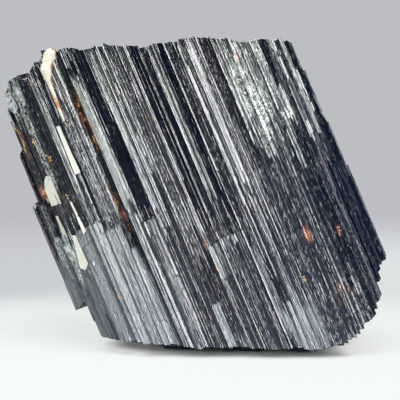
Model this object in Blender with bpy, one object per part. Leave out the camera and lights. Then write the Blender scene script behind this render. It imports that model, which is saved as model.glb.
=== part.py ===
"""Black tourmaline (schorl) hand specimen.

A chunk of parallel, striated columns grown together as one solid. It stands on its
broken base, so the columns lean to the left and slightly back. Metres, +Z up.

Block coordinates are millimetres: across (left to right), depth (front to back) and
height (up along the columns). Lists named after a face run in these coordinates.
"""

import math
from dataclasses import dataclass, field

import bpy
import numpy as np
from mathutils.geometry import convex_hull_2d, delaunay_2d_cdt

NODE = "tourmaline_crystal"
MM = 0.001
SEED = 11

# How the block stands: the columns lean left of upright and back from the front face.
LEAN_LEFT = math.radians(23.0)
LEAN_BACK = math.radians(5.0)
UP = np.array([-math.sin(LEAN_LEFT) * math.cos(LEAN_BACK), math.sin(LEAN_BACK),
               math.cos(LEAN_LEFT) * math.cos(LEAN_BACK)])
ACROSS = np.array([math.cos(LEAN_LEFT), 0.0, math.sin(LEAN_LEFT)])
DEPTH = np.cross(UP, ACROSS)
GROUND_AT_ZERO = 16.35  # height at which the ground meets the block's front left edge
# The object's origin, under the middle of the finished solid.
ORIGIN = np.array([13.54, 19.95, GROUND_AT_ZERO * UP[2]])

# Cross-section of the block, square to the columns.
OUTLINE = [(0, 13), (3, 6.5), (7, 2.5), (11, 0.6), (25, 0), (40, 0.2), (50, 1.2), (55, 4),
           (58.4, 9), (58.8, 16), (55.8, 25), (47, 32), (35, 35), (20, 34.5), (9, 31), (2.5, 24)]

# Columns of the front face: left edge, how far it stands out, and how it is turned
# about its own length in degrees (positive faces left).
FRONT = [(0, 0, 0), (0.95, 0, -10), (2.1, -0.6, -12), (3.8, -0.3, 10), (5.5, -0.2, -26),
         (7.4, -0.1, -24), (9.7, 0.25, -30), (10.45, -0.1, -14), (12.0, -0.25, -12),
         (13.9, -0.3, -8), (15.0, -0.5, -12), (16.15, -0.8, 10), (17.1, 0.0, -16), (18.8, -0.5, 0),
         (19.2, -0.45, 5), (20.5, -0.4, -4), (21.85, -0.15, -18), (22.6, -0.2, 10),
         (23.4, -0.1, -14), (24.1, -0.25, 12), (24.9, -0.1, -12), (25.65, -0.35, 6),
         (26.4, -0.4, -8), (27.2, -0.05, -20), (27.9, -0.1, 16), (28.5, 0.0, -18), (29.1, -0.3, 4),
         (30.8, 0.15, -28), (31.2, -0.2, 6), (32.3, 0.05, -16), (33.1, 0.0, 10), (33.8, -0.45, -3),
         (35.5, 0.1, -30), (35.9, -0.3, 8), (36.9, -0.2, -6), (37.8, -0.05, -18), (38.6, -0.1, 14),
         (39.3, 0.0, -14), (40.5, -0.25, 8), (41.2, -0.15, -10), (42.0, -0.4, 5),
         (42.9, -0.35, -5), (43.9, -0.05, -18), (44.8, 0.0, 12), (45.8, -0.1, -16),
         (46.7, 0.0, 14), (47.7, -0.05, -16), (48.6, -0.1, 12), (49.6, 0.0, -14), (50.5, 0.15, 2),
         (51.5, 0.1, 6), (52.2, -0.35, 22), (52.8, -0.3, 22), (53.5, 0.1, 8), (54.3, 0.0, 12),
         (55.2, -0.35, -10), (55.7, 0.1, 20), (56.2, -0.1, 18), (56.7, -0.2, -10),
         (57.2, -0.3, -10)]
FRONT_END = 57.7

# Plates on the front: from and to across, bottom and top height, how far they stand out.
PLATES = [(7.2, 12.0, -20, 39.0, 0.5), (12.0, 15.0, -20, 36.9, 0.45), (15.0, 16.15, -20, 31.9, 0.5),
          (16.15, 17.1, -20, 29.5, 0.6), (17.1, 19.2, -20, 37.6, 0.3), (19.2, 21.85, -20, 35.7, 0.6),
          (21.85, 24.9, -20, 33.0, 0.3), (28.5, 30.8, -20, 26.8, 0.3), (30.8, 36.9, -20, 27.2, 0.4),
          (33.8, 35.9, 28.1, 39.1, -0.35), (36.9, 38.6, 11.6, 16.3, -0.6),
          (38.6, 39.3, 32.5, 38.2, 0.25), (26.4, 27.2, 6.5, 8.2, -0.5), (24.9, 26.4, 6.8, 16.3, 0.3),
          (42.9, 46.7, 46.7, 90, -0.25), (47.7, 49.6, 40.2, 90, -0.2), (12.0, 13.9, 58.5, 90, 0.45)]

# The left flank steps out in the middle, where an outer column is left: height, stand-out.
LEFT_FLANK = [(25.5, 2.9), (46.7, -1.5), (57.0, -1.0)]
LEFT_FLANK_ACROSS = 2.0
LEFT_FLANK_SET_IN = -2.4

# Heights of the broken ends along the front face: across, height.
TOPS = [(0, 65.0), (1.5, 65.7), (2.3, 66.3), (3.8, 68.8), (5.5, 69.9), (7.2, 70.3), (8.5, 69.5),
        (9.5, 68.8), (10.4, 69.4), (10.8, 70.6), (12.4, 70.9), (13.4, 71.3), (13.9, 72.4),
        (14.4, 72.6), (15.2, 71.8),
        (17.3, 71.4), (19.2, 71.1), (20.5, 70.3), (21.5, 69.7), (25.3, 69.2), (26.2, 68.4),
        (27.5, 68.0), (28.5, 67.3), (31, 66.3), (32.9, 65.5), (34.8, 65.2), (36.7, 64.6),
        (40.5, 63.9), (42.4, 63.5), (44.3, 62.5), (46.2, 61.6), (48.1, 60.4), (49.6, 59.6),
        (50.5, 58.9), (52.3, 59.0), (53.8, 58.2), (55.7, 57.6), (57.0, 57.6), (58.8, 58.2)]
FRONT_BOTTOMS = [(0, 19.4), (2.3, 18.4), (10.1, 15.2), (12, 13.8), (13, 13.3), (17.7, 11.3),
                 (18.6, 10.2), (21.5, 9.2), (24.3, 8.2), (27.2, 6.8), (29.1, 5.8), (32.9, 4.2),
                 (36.7, 2.7), (38.6, 1.5), (40.5, 0.6), (42.4, 0.6), (46.2, 0.2), (47.7, 0.6),
                 (48.6, 1.0), (50.2, 1.9), (51.4, 2.3), (52.75, 2.8), (52.85, 4.0), (54.2, 4.8),
                 (55.15, 5.3), (55.25, 7.6), (56.6, 8.6), (57.8, 9.6)]
# How far the ends behind the front face are clear of the ground: across, clearance.
LIFTS = [(0, 3.4), (8, 2.2), (14, 1.3), (20, 0.9), (40, 0.9), (44, 2.8), (48, 6.0), (51, 8.8),
         (54, 12.2), (55.2, 13.2), (55.4, 15.6), (56.6, 16.8), (58.0, 18.0), (58.8, 18.8)]
FRONT_LIMIT = 5.0  # depth up to which a column belongs to the front face
# The part of the base that carries the block: from and to across, from and to depth.
BASE = (12.0, 43.0, 7.0, 31.0)
REST = (24.0, 16.0)  # the middle of the widest flat end it rests on
REST_SIZE = 8.0
REST_REACH = 2.5

# Outer columns. Pairs are the least and the most of something that varies.
FRONT_RIDGE = (0.04, 0.12)
WIDE_COLUMN = 1.3  # a wider front column has a ridge along its middle
MOST_TURNED = 0.45  # how far out a turned column's edge may come
BACK_WIDTH = (1.1, 3.4)
BACK_TURN = (-16.0, 16.0)
BACK_RIDGE = (-0.1, 0.22)
BACK_STAND_OUT = (-0.4, 0.2)
BUNDLE = (3, 7)  # columns behind the front stand out or in together, in bundles
BUNDLE_STAND_OUT = (-1.5, 0.3)
RIGHT_FLANK_ACROSS = 53.0  # beyond this the bundles are nearly level
RIGHT_FLANK_SHARE = 0.2
# The right flank is set back a little more at each of these heights: height, step.
RIGHT_TAPER = [(31.0, -0.25), (42.0, -0.3), (50.5, -0.35)]
RIGHT_TAPER_ACROSS = 57.0
TAPER_SPREAD = 3.0  # how far above or below those heights a column's own ledge can be
RING_DEPTH = (3.4, 4.1)  # how far in the broken ends of the outer columns reach
SEAM = 0.03  # half the width of the slope between two columns

# Broken ends of the outer columns, and ledges where a piece of a column has come away.
FRONT_TOP = (-0.25, 0.25)
FRONT_BOTTOM = (-0.2, 0.2)
BACK_TOP = (-1.6, 0.0)
BACK_BOTTOM = (-0.3, 0.9)
TOP_FALL = 0.03  # how much lower the top is for each mm towards the back
LEAST_CLEARANCE = 0.4
BOTTOM_SLANT = 0.12  # on top of the slope of the ground
CORNER_ACROSS = 50.0  # beyond it the lower ends slant with the corner they make up, not with the ground
TOP_SLANT = 0.25  # on top of the slope of the tops
MOST_SLANT = 0.6
LEDGE_SLANT = 0.5
FRONT_LEDGES = (0, 3)
BACK_LEDGES = (1, 4)
FRONT_STEP = 0.22
BACK_STEP = 0.6
LEDGE_TO_END = 0.8
LEDGE_TO_LEDGE = 1.0
LOOSE_TO_END = 2.5
MOST_IN = -2.5
MOST_OUT = 0.6
LEDGE = 0.04  # half the height of the slope at a ledge
ROWS = 11

# Broken ends of the inner columns, at the top and at the base.
CORE_DEPTH = 4.6
CORE_SIZES = (2.2, 6.5)
CORE_TRIES = 900
CORE_GAP = 0.16
SMALLEST_END = 1.0
SHORTEST_SIDE = 0.25
CORE_TOP_DROP = (0.4, 2.4)
DEEP_SHARE = 0.2
DEEP_DROP = (1.0, 3.5)
CORE_TILT = 0.2
RAISED_SHARE = 0.45
RAISED = (0.2, 0.9)
CORE_CLEARANCE = (-0.5, 0.4)
BORDER_POINTS = 48


def ground_height(across, depth):
    """Height in the block at which it meets the ground."""
    return GROUND_AT_ZERO - (across * ACROSS[2] + depth * DEPTH[2]) / UP[2]


def to_object(block):
    """Block coordinates to the object's own, in metres."""
    return (block @ np.array([ACROSS, DEPTH, UP]) - ORIGIN) * MM


def table(pairs, across):
    """A value read off a list of (across, value) pairs."""
    places, values = zip(*pairs)
    return np.interp(across, places, values)


class Outline:
    """The cross-section as a smooth closed curve, measured by the length along it."""

    def __init__(self, points, steps=60):
        here = np.array(points, float)
        ahead = np.roll(here, -1, 0)
        tangent = ahead - np.roll(here, 1, 0)
        tangent /= np.linalg.norm(tangent, axis=1)[:, None]
        span = np.linalg.norm(ahead - here, axis=1)[:, None]
        u = np.linspace(0, 1, steps, endpoint=False)[None, :, None]
        leave, arrive = (tangent * span)[:, None], (np.roll(tangent, -1, 0) * span)[:, None]
        curve = ((2 * u**3 - 3 * u**2 + 1) * here[:, None] + (u**3 - 2 * u**2 + u) * leave
                 + (3 * u**2 - 2 * u**3) * ahead[:, None] + (u**3 - u**2) * arrive)
        self.points = curve.reshape(-1, 2)
        pieces = np.linalg.norm(np.roll(self.points, -1, 0) - self.points, axis=1)
        self.lengths = np.concatenate([[0], np.cumsum(pieces)])
        self.length = self.lengths[-1]
        edge = np.roll(self.points, -1, 0) - np.roll(self.points, 1, 0)
        edge /= np.linalg.norm(edge, axis=1)[:, None]
        self.normals = np.stack([edge[:, 1], -edge[:, 0]], 1)

    def _read(self, values, s):
        closed = np.vstack([values, values[:1]])
        s = np.mod(s, self.length)
        return np.stack([np.interp(s, self.lengths, closed[:, k]) for k in (0, 1)], -1)

    def at(self, s):
        return self._read(self.points, s)

    def out(self, s):
        return self._read(self.normals, s)

    def front(self, across):
        """Length along the curve at a place on the front face."""
        turn = int(np.argmax(self.points[:, 0]))
        return float(np.interp(across, self.points[:turn, 0], self.lengths[:turn]))


@dataclass
class Column:
    """One outer column: where it is on the outline, its ends and its broken ledges."""

    start: float
    end: float
    stand_out: float
    turn: float
    ridge: float
    middle: np.ndarray = None
    sides: np.ndarray = None
    marks: list = field(default_factory=list)
    slants: list = field(default_factory=list)
    levels: list = field(default_factory=list)
    reach: float = 3.0

    @property
    def width(self):
        return self.end - self.start


def lay_columns(outline, rng):
    """All outer columns in order around the block, the front ones from their list."""
    edges = [outline.front(row[0]) for row in FRONT] + [outline.front(FRONT_END)]
    columns = []
    for k, (_, stand_out, turn) in enumerate(FRONT):
        width = edges[k + 1] - edges[k]
        ridge = rng.uniform(*FRONT_RIDGE) if width > WIDE_COLUMN else 0.0
        columns.append(Column(edges[k], edges[k + 1], stand_out, turn, ridge))
    columns += lay_back_columns(outline, edges[-1], rng)
    for column in columns:
        column.middle = outline.at((column.start + column.end) / 2)
        column.sides = outline.at(np.array([column.start, column.end]))
        column.reach = rng.uniform(*RING_DEPTH)
        end_column(column, rng)
        break_column(column, rng)
    return columns


def lay_back_columns(outline, s, rng):
    """Columns of the right flank, the back and the left flank, in bundles."""
    columns = []
    bundle, left = 0.0, 0
    while s < outline.length:
        end = s + rng.uniform(*BACK_WIDTH)
        if end > outline.length - BACK_WIDTH[0]:
            end = outline.length
        if left == 0:
            bundle = rng.uniform(*BUNDLE_STAND_OUT)
            left = int(rng.integers(*BUNDLE))
        if outline.at(s)[0] > RIGHT_FLANK_ACROSS:
            bundle *= RIGHT_FLANK_SHARE
        left -= 1
        stand_out = bundle + rng.uniform(*BACK_STAND_OUT)
        columns.append(Column(s, end, stand_out, rng.uniform(*BACK_TURN), rng.uniform(*BACK_RIDGE)))
        s = end
    return columns


def lower_end(place, front):
    """Height of a column's lower end at a place, before its own unevenness."""
    across, depth = place
    if front:
        return table(FRONT_BOTTOMS, across)
    return ground_height(across, depth) + table(LIFTS, across)


def limited(slope):
    """A slope held within the steepest that an end can have."""
    return min(max(slope, -MOST_SLANT), MOST_SLANT)


def end_column(column, rng):
    """Heights of a column's two broken ends, with how much each one slants."""
    across, depth = column.middle
    front = depth < FRONT_LIMIT
    top = table(TOPS, across)
    ground = ground_height(across, depth)
    bottom = lower_end(column.middle, front)
    if front:
        top += rng.uniform(*FRONT_TOP)
        bottom += rng.uniform(*FRONT_BOTTOM)
    else:
        top += rng.uniform(*BACK_TOP) - TOP_FALL * depth
        bottom += rng.uniform(*BACK_BOTTOM)
    column.marks = [max(bottom, ground + LEAST_CLEARANCE), top]
    left, right = column.sides
    slope = (ground_height(*right) - ground_height(*left)) / column.width
    if across > CORNER_ACROSS:
        slope = limited((lower_end(right, front) - lower_end(left, front)) / column.width)
    top_slope = limited((table(TOPS, right[0]) - table(TOPS, left[0])) / column.width)
    column.slants = [slope + rng.uniform(-BOTTOM_SLANT, BOTTOM_SLANT),
                     top_slope + rng.uniform(-TOP_SLANT, TOP_SLANT)]


def column_steps(column, rng):
    """Heights at which a column steps out or in, with how far, in no order."""
    across, depth = column.middle
    if across < LEFT_FLANK_ACROSS:
        column.stand_out = LEFT_FLANK_SET_IN
        return list(LEFT_FLANK)
    if across > RIGHT_TAPER_ACROSS:
        return [(place + rng.uniform(-TAPER_SPREAD, TAPER_SPREAD), step) for place, step in RIGHT_TAPER]
    front = depth < FRONT_LIMIT
    steps = []
    if front:
        for start, end, bottom, top, out in PLATES:
            if start < across < end:
                steps += [(bottom, out), (top, -out)]
    low, high = column.marks
    size = FRONT_STEP if front else BACK_STEP
    if across > RIGHT_FLANK_ACROSS:
        size *= RIGHT_FLANK_SHARE
    for _ in range(rng.integers(*(FRONT_LEDGES if front else BACK_LEDGES))):
        place = rng.uniform(low + LOOSE_TO_END, high - LOOSE_TO_END)
        steps.append((place, rng.uniform(-size, size)))
    return steps


def break_column(column, rng):
    """Where pieces of a column have come away: its ledges, and the level between them."""
    steps = sorted(column_steps(column, rng))
    low, high = column.marks
    ledges = []
    levels = [column.stand_out]
    for place, step in steps:
        if place > high - LEDGE_TO_END:
            continue
        crowded = ledges and place - ledges[-1] < LEDGE_TO_LEDGE
        if place < low + LEDGE_TO_END or crowded:
            levels[-1] += step
        else:
            ledges.append(place)
            levels.append(levels[-1] + step)
    column.levels = [min(max(level, MOST_IN), MOST_OUT) for level in levels]
    slants = [rng.uniform(-LEDGE_SLANT, LEDGE_SLANT) for _ in ledges]
    column.marks = [low] + ledges + [high]
    column.slants = [column.slants[0]] + slants + [column.slants[1]]


def share_rows(stretches, spare):
    """Deal spare rows out over the stretches between ledges, the longest first."""
    share = [0] * len(stretches)
    for _ in range(spare):
        k = max(range(len(stretches)), key=lambda n: stretches[n] / (share[n] + 1))
        share[k] += 1
    return share


def column_rows(column, u, count):
    """Heights of the rows down one line of a column, and which level each belongs to."""
    stretches = np.diff(column.marks)
    share = share_rows(list(stretches), count - 2 * len(stretches))
    lean = [h + slant * (u - 0.5) * column.width for h, slant in zip(column.marks, column.slants)]
    heights, owners = [], []
    for k in range(len(stretches)):
        low = lean[k] + (LEDGE if k else 0.0)
        high = lean[k + 1] - (LEDGE if k + 1 < len(stretches) else 0.0)
        heights.extend(np.linspace(low, high, share[k] + 2))
        owners.extend([k] * (share[k] + 2))
    return np.array(heights), np.array(owners)


def column_lines(column):
    """How far across a column its lines of vertices lie, from 0 to 1."""
    return (0.0, 0.5, 1.0) if column.ridge else (0.0, 1.0)


def line_stand_out(column, u):
    """How far out a line lies from the outline, for the column's turn and ridge."""
    turned = math.tan(math.radians(column.turn)) * column.width * (u - 0.5)
    return np.clip(turned, -MOST_TURNED, MOST_TURNED) + column.ridge * (1 - abs(2 * u - 1))


def build_skin(outline, columns):
    """The outer faces: one line of vertices after another, each from bottom to top."""
    lines, inner_low, inner_high = [], [], []
    for column in columns:
        for u in column_lines(column):
            heights, owners = column_rows(column, u, ROWS)
            inset = SEAM * (1 - 2 * u)
            s = column.start + u * column.width + inset
            out = outline.out(s)
            chord = (1 - u) * outline.at(column.start + SEAM) + u * outline.at(column.end - SEAM)
            stand = np.array(column.levels)[owners] + line_stand_out(column, u)
            places = chord + stand[:, None] * out
            lines.append(np.column_stack([places, heights]))
            inside = chord - column.reach * out
            inner_low.append([*inside, heights[0]])
            inner_high.append([*inside, heights[-1]])
    return np.array(lines), np.array(inner_low), np.array(inner_high)


def cut_polygon(polygon, point, normal):
    """The part of a convex polygon that lies behind a line."""
    kept = []
    sides = [float(np.dot(corner - point, normal)) for corner in polygon]
    for k, corner in enumerate(polygon):
        following = polygon[(k + 1) % len(polygon)]
        side, next_side = sides[k], sides[(k + 1) % len(polygon)]
        if side <= 0:
            kept.append(corner)
        if side * next_side < 0:
            kept.append(corner + (following - corner) * side / (side - next_side))
    return kept


def core_seeds(rng, border, rest=None):
    """Middles of the inner columns, scattered thick and thin, one of them given if asked."""
    low, high = np.min(border, 0), np.max(border, 0)
    seeds, sizes = [], []
    if rest is not None:
        seeds, sizes = [np.array(rest)], [REST_SIZE]
    for _ in range(CORE_TRIES):
        spot = rng.uniform(low, high)
        size = CORE_SIZES[0] + (CORE_SIZES[1] - CORE_SIZES[0]) * rng.random() ** 1.5
        if all(np.linalg.norm(spot - s) > (size + r) / 2 for s, r in zip(seeds, sizes)):
            seeds.append(spot)
            sizes.append(size)
    return seeds


def core_ends(rng, border, rest=None):
    """Outlines of the inner columns' ends, a hair apart from each other."""
    seeds = core_seeds(rng, border, rest)
    ends = []
    for seed in seeds:
        polygon = [np.array(corner) for corner in border]
        for other in seeds:
            gap = other - seed
            distance = np.linalg.norm(gap)
            if 0 < distance < 4 * CORE_SIZES[1]:
                normal = gap / distance
                polygon = cut_polygon(polygon, (seed + other) / 2 - normal * CORE_GAP / 2, normal)
        if len(polygon) > 2 and polygon_area(polygon) > SMALLEST_END:
            ends.append(drop_short_sides(polygon))
    return ends


def polygon_area(polygon):
    """Area inside a polygon that runs anticlockwise."""
    across, depth = np.array(polygon).T
    return 0.5 * float(np.dot(across, np.roll(depth, -1)) - np.dot(np.roll(across, -1), depth))


def drop_short_sides(polygon):
    """A polygon without corners that crowd the one before."""
    kept = [polygon[0]]
    for corner in polygon[1:]:
        if np.linalg.norm(corner - kept[-1]) > SHORTEST_SIDE:
            kept.append(corner)
    if np.linalg.norm(kept[0] - kept[-1]) < SHORTEST_SIDE:
        kept.pop()
    return kept


def top_heights(rng, polygon):
    """A broken, slightly tilted end at the top, lower than the front edge."""
    middle = np.mean(polygon, 0)
    height = table(TOPS, middle[0]) - TOP_FALL * middle[1] - rng.uniform(*CORE_TOP_DROP)
    if rng.random() < DEEP_SHARE:
        height -= rng.uniform(*DEEP_DROP)
    tilt = rng.uniform(-CORE_TILT, CORE_TILT, 2)
    return [height + float(np.dot(tilt, corner - middle)) for corner in polygon]


def bottom_heights(rng, polygon):
    """An end at the base: on the ground in the middle, clear of it towards the corners."""
    middle = np.mean(polygon, 0)
    left, right, front, back = BASE
    carries = left < middle[0] < right and front < middle[1] < back
    lift = rng.uniform(*RAISED) if rng.random() < RAISED_SHARE else 0.0
    if np.linalg.norm(middle - REST) < REST_REACH:
        lift = 0.0
    if not carries:
        lift = float(table(LIFTS, middle[0])) + rng.uniform(*CORE_CLEARANCE)
    return [float(ground_height(*corner)) + lift for corner in polygon]


def close_end(ring, polygons, heights):
    """Triangles that join a ring of column ends and the inner columns' ends."""
    points = [tuple(place) for place in ring[:, :2]]
    values = list(ring[:, 2])
    edges = [(k, (k + 1) % len(ring)) for k in range(len(ring))]
    for polygon, tops in zip(polygons, heights):
        first = len(points)
        points += [tuple(corner) for corner in polygon]
        values += tops
        edges += [(first + k, first + (k + 1) % len(polygon)) for k in range(len(polygon))]
    flat, _, faces, *_ = delaunay_2d_cdt(points, edges, [], 1, 1e-7)
    if len(flat) != len(points):
        raise RuntimeError("the ends overlap")
    solid = np.array([(*place, value) for place, value in zip(points, values)])
    return solid, [tuple(face) for face in faces]


def inner_border(outline):
    """The line the inner columns stay within."""
    s = np.linspace(0, outline.length, BORDER_POINTS, endpoint=False)
    inset = outline.at(s) - CORE_DEPTH * outline.out(s)
    return [inset[k] for k in convex_hull_2d([tuple(place) for place in inset])]


def build_block():
    """Vertices in block coordinates, and faces, of the whole closed solid."""
    rng = np.random.default_rng(SEED)
    outline = Outline(OUTLINE)
    columns = lay_columns(outline, rng)
    skin, ring_low, ring_high = build_skin(outline, columns)
    border = inner_border(outline)
    low_cells = core_ends(rng, border, REST)
    high_cells = core_ends(rng, border)
    low_end, low_faces = close_end(ring_low, low_cells, [bottom_heights(rng, c) for c in low_cells])
    high_end, high_faces = close_end(ring_high, high_cells, [top_heights(rng, c) for c in high_cells])
    lines, rows = skin.shape[:2]
    low_first = lines * rows
    high_first = low_first + len(low_end)
    faces = []
    for j in range(lines):
        following = (j + 1) % lines
        here, there = j * rows, following * rows
        faces += [(here + k, there + k, there + k + 1, here + k + 1) for k in range(rows - 1)]
        faces.append((there, here, low_first + j, low_first + following))
        faces.append((here + rows - 1, there + rows - 1, high_first + following, high_first + j))
    faces += [tuple(low_first + k for k in reversed(face)) for face in low_faces]
    faces += [tuple(high_first + k for k in face) for face in high_faces]
    return np.vstack([skin.reshape(-1, 3), low_end, high_end]), faces


def black_tourmaline():
    """Glassy black stone."""
    material = bpy.data.materials.new("tourmaline")
    material.use_nodes = True
    surface = material.node_tree.nodes["Principled BSDF"]
    surface.inputs["Base Color"].default_value = (0.012, 0.013, 0.016, 1)
    surface.inputs["Roughness"].default_value = 0.3
    surface.inputs["Metallic"].default_value = 0.0
    return material


def main():
    for old in list(bpy.data.objects):
        bpy.data.objects.remove(old)
    block, faces = build_block()
    mesh = bpy.data.meshes.new(NODE)
    mesh.from_pydata(to_object(block).tolist(), [], faces)
    mesh.materials.append(black_tourmaline())
    crystal = bpy.data.objects.new(NODE, mesh)
    bpy.context.scene.collection.objects.link(crystal)
    corners = np.array([vertex.co for vertex in mesh.vertices]) / MM
    rest = to_object(np.array([*REST, ground_height(*REST)])) / MM
    print("lowest corner", corners.min(0).round(3), "highest", corners.max(0).round(3))
    print("triangles", sum(len(face.vertices) - 2 for face in mesh.polygons), "rest point", rest.round(3))


main()
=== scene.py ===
# %% [markdown]
# # A chunk of black tourmaline
# Schorl, the black kind of tourmaline, grows as long columns with lines running down every
# face. This one is many columns grown side by side in one block, broken off at both ends,
# with a thin cream vein of feldspar and rust where water has crept in. It is one solid, so
# it is made here as one mesh. The mesh is built in the block's own directions: across its
# front face, into its depth, and up along the columns, all in millimetres.

import math

import bpy
import numpy as np
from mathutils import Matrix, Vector
from mathutils.bvhtree import BVHTree
from mathutils.geometry import convex_hull_2d, delaunay_2d_cdt


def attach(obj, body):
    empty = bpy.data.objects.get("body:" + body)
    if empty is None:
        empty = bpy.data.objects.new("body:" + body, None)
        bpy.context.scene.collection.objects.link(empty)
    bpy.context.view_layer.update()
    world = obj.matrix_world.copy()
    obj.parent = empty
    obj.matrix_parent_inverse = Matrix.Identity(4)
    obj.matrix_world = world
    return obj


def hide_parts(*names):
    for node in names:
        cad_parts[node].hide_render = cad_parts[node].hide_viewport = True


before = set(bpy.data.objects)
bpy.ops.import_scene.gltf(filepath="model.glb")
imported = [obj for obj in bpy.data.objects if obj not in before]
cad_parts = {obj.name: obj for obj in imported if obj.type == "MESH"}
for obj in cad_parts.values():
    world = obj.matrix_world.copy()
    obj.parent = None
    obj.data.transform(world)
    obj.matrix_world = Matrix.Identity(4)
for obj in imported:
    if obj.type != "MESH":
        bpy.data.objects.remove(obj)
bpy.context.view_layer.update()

# %% [markdown]
# ## How the block stands
# The chunk rests on its broken base, so the columns lean 23 degrees to the left and 5
# degrees back. Everything is drawn square to the columns first and turned once at the end,
# which keeps every sum below simple.

# %% Directions of the block
MM = 0.001
LEAN_LEFT = math.radians(23.0)
LEAN_BACK = math.radians(5.0)
UP = np.array([-math.sin(LEAN_LEFT) * math.cos(LEAN_BACK), math.sin(LEAN_BACK),
               math.cos(LEAN_LEFT) * math.cos(LEAN_BACK)])
ACROSS = np.array([math.cos(LEAN_LEFT), 0.0, math.sin(LEAN_LEFT)])
DEPTH = np.cross(UP, ACROSS)
GROUND_AT_ZERO = 16.35  # height at which the ground meets the block's front left edge
ORIGIN = np.array([13.54, 19.95, GROUND_AT_ZERO * UP[2]])


def ground_height(across, depth):
    """Height in the block at which it meets the ground."""
    return GROUND_AT_ZERO - (across * ACROSS[2] + depth * DEPTH[2]) / UP[2]


def stand_up(block):
    """Block millimetres to the object's own metres."""
    return (np.asarray(block) @ np.array([ACROSS, DEPTH, UP]) - ORIGIN) * MM


def mesh_of(name, places, faces):
    """A mesh from places in the block, stood up as the chunk stands."""
    body = bpy.data.meshes.new(name)
    body.from_pydata(stand_up(places).tolist(), [], faces)
    return body


def set_down(name, body):
    """An object of a mesh, a lamp or a camera, put into the scene."""
    piece = bpy.data.objects.new(name, body)
    bpy.context.scene.collection.objects.link(piece)
    return piece


print("columns point", UP.round(3), "front face looks", (-DEPTH).round(3))

# %% [markdown]
# ## The cross-section
# Cut across, the block is a rounded oblong with a long flat front. A smooth closed curve
# through sixteen points gives it, and places on it are named by the length walked round it,
# the way a tape would measure it.

# %% A smooth closed cross-section
OUTLINE = [(0, 13), (3, 6.5), (7, 2.5), (11, 0.6), (25, 0), (40, 0.2), (50, 1.2), (55, 4),
           (58.4, 9), (58.8, 16), (55.8, 25), (47, 32), (35, 35), (20, 34.5), (9, 31), (2.5, 24)]


class Outline:
    """The cross-section as a smooth closed curve, measured by the length along it."""

    def __init__(self, points, steps=60):
        here = np.array(points, float)
        ahead = np.roll(here, -1, 0)
        tangent = ahead - np.roll(here, 1, 0)
        tangent /= np.linalg.norm(tangent, axis=1)[:, None]
        span = np.linalg.norm(ahead - here, axis=1)[:, None]
        u = np.linspace(0, 1, steps, endpoint=False)[None, :, None]
        leave, arrive = (tangent * span)[:, None], (np.roll(tangent, -1, 0) * span)[:, None]
        curve = ((2 * u**3 - 3 * u**2 + 1) * here[:, None] + (u**3 - 2 * u**2 + u) * leave
                 + (3 * u**2 - 2 * u**3) * ahead[:, None] + (u**3 - u**2) * arrive)
        self.points = curve.reshape(-1, 2)
        pieces = np.linalg.norm(np.roll(self.points, -1, 0) - self.points, axis=1)
        self.lengths = np.concatenate([[0], np.cumsum(pieces)])
        self.length = self.lengths[-1]
        edge = np.roll(self.points, -1, 0) - np.roll(self.points, 1, 0)
        edge /= np.linalg.norm(edge, axis=1)[:, None]
        self.normals = np.stack([edge[:, 1], -edge[:, 0]], 1)

    def read(self, values, s):
        closed = np.vstack([values, values[:1]])
        s = np.mod(s, self.length)
        return np.stack([np.interp(s, self.lengths, closed[:, k]) for k in (0, 1)], -1)

    def at(self, s):
        return self.read(self.points, s)

    def out(self, s):
        return self.read(self.normals, s)

    def front(self, across):
        """Length along the curve at a place on the front face."""
        turn = int(np.argmax(self.points[:, 0]))
        return float(np.interp(across, self.points[:turn, 0], self.lengths[:turn]))


outline = Outline(OUTLINE)
print("round the block", round(outline.length, 1), "mm")

# %% [markdown]
# ## The columns
# Each column shows one long narrow face. The front ones are listed one by one: where a column starts, how far
# it stands out and how far it is turned, because a turned face catches the light and its neighbour doesn't.
# The ones behind come in bundles from a seeded draw. Pieces of some columns have broken away, which leaves
# ledges square to the columns.

# %% The front columns, their plates and their broken ends
# Where each front column starts across the block and how far it stands out, in mm, and how far
# it is turned to the left, in degrees.
FRONT = [(0, 0, 0), (0.95, 0, -10), (2.1, -0.6, -12), (3.8, -0.3, 10), (5.5, -0.2, -26),
         (7.4, -0.1, -24), (9.7, 0.25, -30), (10.45, -0.1, -14), (12.0, -0.25, -12),
         (13.9, -0.3, -8), (15.0, -0.5, -12), (16.15, -0.8, 10), (17.1, 0.0, -16), (18.8, -0.5, 0),
         (19.2, -0.45, 5), (20.5, -0.4, -4), (21.85, -0.15, -18), (22.6, -0.2, 10),
         (23.4, -0.1, -14), (24.1, -0.25, 12), (24.9, -0.1, -12), (25.65, -0.35, 6),
         (26.4, -0.4, -8), (27.2, -0.05, -20), (27.9, -0.1, 16), (28.5, 0.0, -18), (29.1, -0.3, 4),
         (30.8, 0.15, -28), (31.2, -0.2, 6), (32.3, 0.05, -16), (33.1, 0.0, 10), (33.8, -0.45, -3),
         (35.5, 0.1, -30), (35.9, -0.3, 8), (36.9, -0.2, -6), (37.8, -0.05, -18), (38.6, -0.1, 14),
         (39.3, 0.0, -14), (40.5, -0.25, 8), (41.2, -0.15, -10), (42.0, -0.4, 5),
         (42.9, -0.35, -5), (43.9, -0.05, -18), (44.8, 0.0, 12), (45.8, -0.1, -16),
         (46.7, 0.0, 14), (47.7, -0.05, -16), (48.6, -0.1, 12), (49.6, 0.0, -14), (50.5, 0.15, 2),
         (51.5, 0.1, 6), (52.2, -0.35, 22), (52.8, -0.3, 22), (53.5, 0.1, 8), (54.3, 0.0, 12),
         (55.2, -0.35, -10), (55.7, 0.1, 20), (56.2, -0.1, 18), (56.7, -0.2, -10),
         (57.2, -0.3, -10)]
FRONT_END = 57.7
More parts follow.
